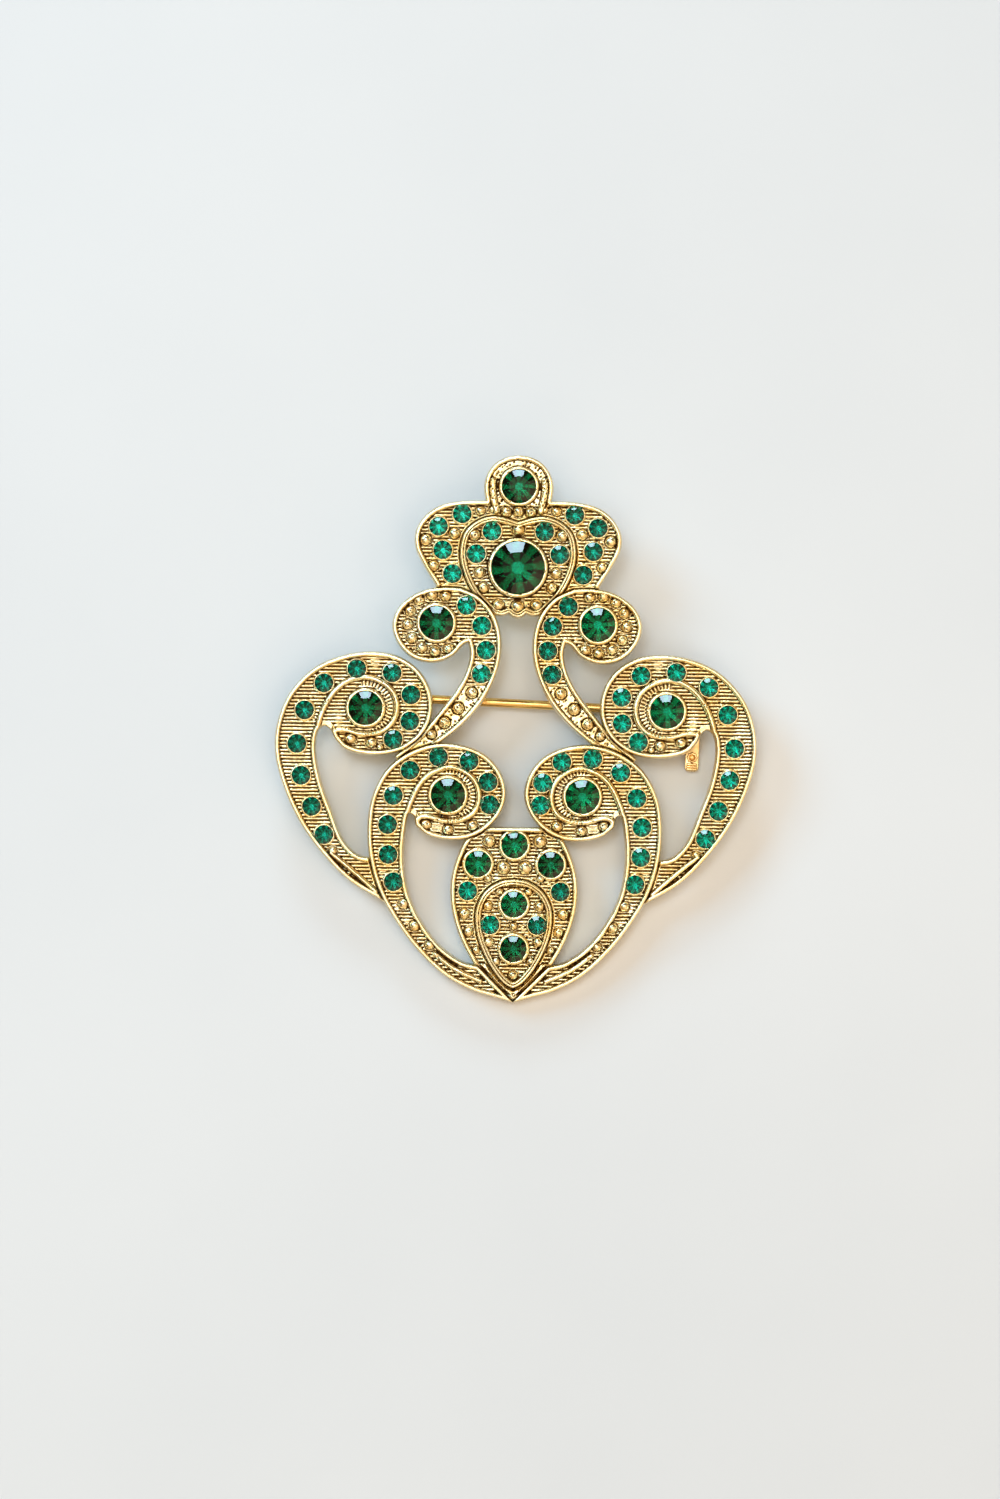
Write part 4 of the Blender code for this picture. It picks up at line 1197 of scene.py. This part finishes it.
LIGHTS_AIM = Vector((0, -0.018, 0))
DIM_ROOM = (0.10, 0.065, 0.035)
WARM_WALL = (1.0, 0.70, 0.42)
CEILING = (2.75, 2.35, 1.9)
CAMERA_SHAPE = (0.25, 0.18, 0.12)

# In metres.
FLOOR_SIZE = 4.0
FLOOR_CLEARANCE = 0.00005
CAMERA_DISTANCE = 0.60
CAMERA_MIDDLE = Vector((-0.00173, -0.0200, 0.002))
FRAME_HEIGHT = 0.1649
SENSOR = 36.0


def floor_plane():
    """The pale surface that the brooch rests on: its findings and the tip of the bud touch it."""
    bracket, housing, roller = (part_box(node)[0] for node in ("hinge_bracket", "catch_housing", "catch_roller"))
    lowest = min(bracket.z, housing.z, roller.z)
    tip_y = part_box("brooch_casting")[0].y
    tilt = math.atan2(-lowest, min(bracket.y, housing.y) - tip_y)
    bpy.ops.mesh.primitive_plane_add(size=FLOOR_SIZE)
    floor = bpy.context.object
    floor.name = "studio_floor"
    floor.matrix_world = Matrix.Translation((0, tip_y, -FLOOR_CLEARANCE)) @ Matrix.Rotation(-tilt, 4, "X")
    floor.data.materials.append(pale_floor())


def light_from(name, turn, rise, distance, size, power, colour):
    """A soft light that points at the brooch from this compass turn and this rise, in degrees."""
    turn, rise = math.radians(turn), math.radians(rise)
    away = Vector((math.cos(turn) * math.cos(rise), math.sin(turn) * math.cos(rise), math.sin(rise)))
    data = bpy.data.lights.new(name, "AREA")
    data.shape = "RECTANGLE"
    data.size, data.size_y = size
    data.energy = power
    data.color = colour
    facing = (-away).to_track_quat("-Z", "Y").to_matrix().to_4x4()
    new_object(name, data, Matrix.Translation(LIGHTS_AIM + away * distance) @ facing)


def room():
    """What the metal mirrors: a bright ceiling with the camera's dark shape, and a warm wall, lower right."""
    world = bpy.data.worlds.new("studio_world")
    bpy.context.scene.world = world
    m = Nodes(world, "Background")
    direction = m.add("ShaderNodeTexCoord", {})["Generated"]

    def painted(under, towards, outer, inner, colour):
        """The colour about one direction: none at the outer angle, full at the inner one, in degrees."""
        inputs = {0: direction, 1: Vector(towards).normalized()}
        facing = m.add("ShaderNodeVectorMath", inputs, operation="DOT_PRODUCT")["Value"]
        share = m.spread(facing, math.cos(math.radians(outer)), math.cos(math.radians(inner)),
                         interpolation_type="SMOOTHSTEP")
        return m.mix(share, under, colour)

    seen = painted(DIM_ROOM, (0.66, -0.68, 0.32), 90, 18, WARM_WALL)
    seen = painted(seen, (0.0, 0.05, 1.0), 31, 16, CEILING)
    seen = painted(seen, (0.04, -0.08, 1.0), 11, 6, CAMERA_SHAPE)
    m.set("Color", seen)
    m.set("Strength", 1.0)


def studio():
    """A window behind the crest, one to the upper left, a small light overhead and four small warm lamps."""
    light_from("window_light", 97, 15, 1.1, (0.36, 0.26), 4.5, (0.62, 0.83, 1.0))
    light_from("side_window_light", 140, 33, 1.2, (0.50, 0.50), 6.4, (0.33, 0.69, 1.0))
    light_from("overhead_light", 120, 76, 1.2, (0.24, 0.24), 2.1, (0.60, 0.84, 1.0))
    for turn in (-118, -50, 15, 185):
        light_from("lamp_light", turn, 51, 1.2, (0.14, 0.14), 0.3, (1.0, 0.93, 0.80))
    bpy.context.scene.view_settings.view_transform = "Standard"
    room()


def camera():
    """Straight above the front, far enough back to look almost parallel."""
    data = bpy.data.cameras.new("camera")
    data.sensor_width = SENSOR
    data.lens = SENSOR * CAMERA_DISTANCE / FRAME_HEIGHT
    data.clip_start = 0.01
    data.clip_end = 10.0
    place = (Matrix.Translation(CAMERA_MIDDLE + Vector((0, 0, CAMERA_DISTANCE)))
             @ Matrix.Rotation(math.radians(0.7), 4, "Z"))
    bpy.context.scene.camera = new_object("camera", data, place)


def main():
    stones = stones_from_frame() + stones_left_out()
    build_casting(stones, gilt_casting())
    make_stones(stones)
    findings = gilt_findings()
    make_pin(gilt_wire())
    make_hinge(findings)
    make_catch(findings)
    floor_plane()
    studio()
    camera()


main()
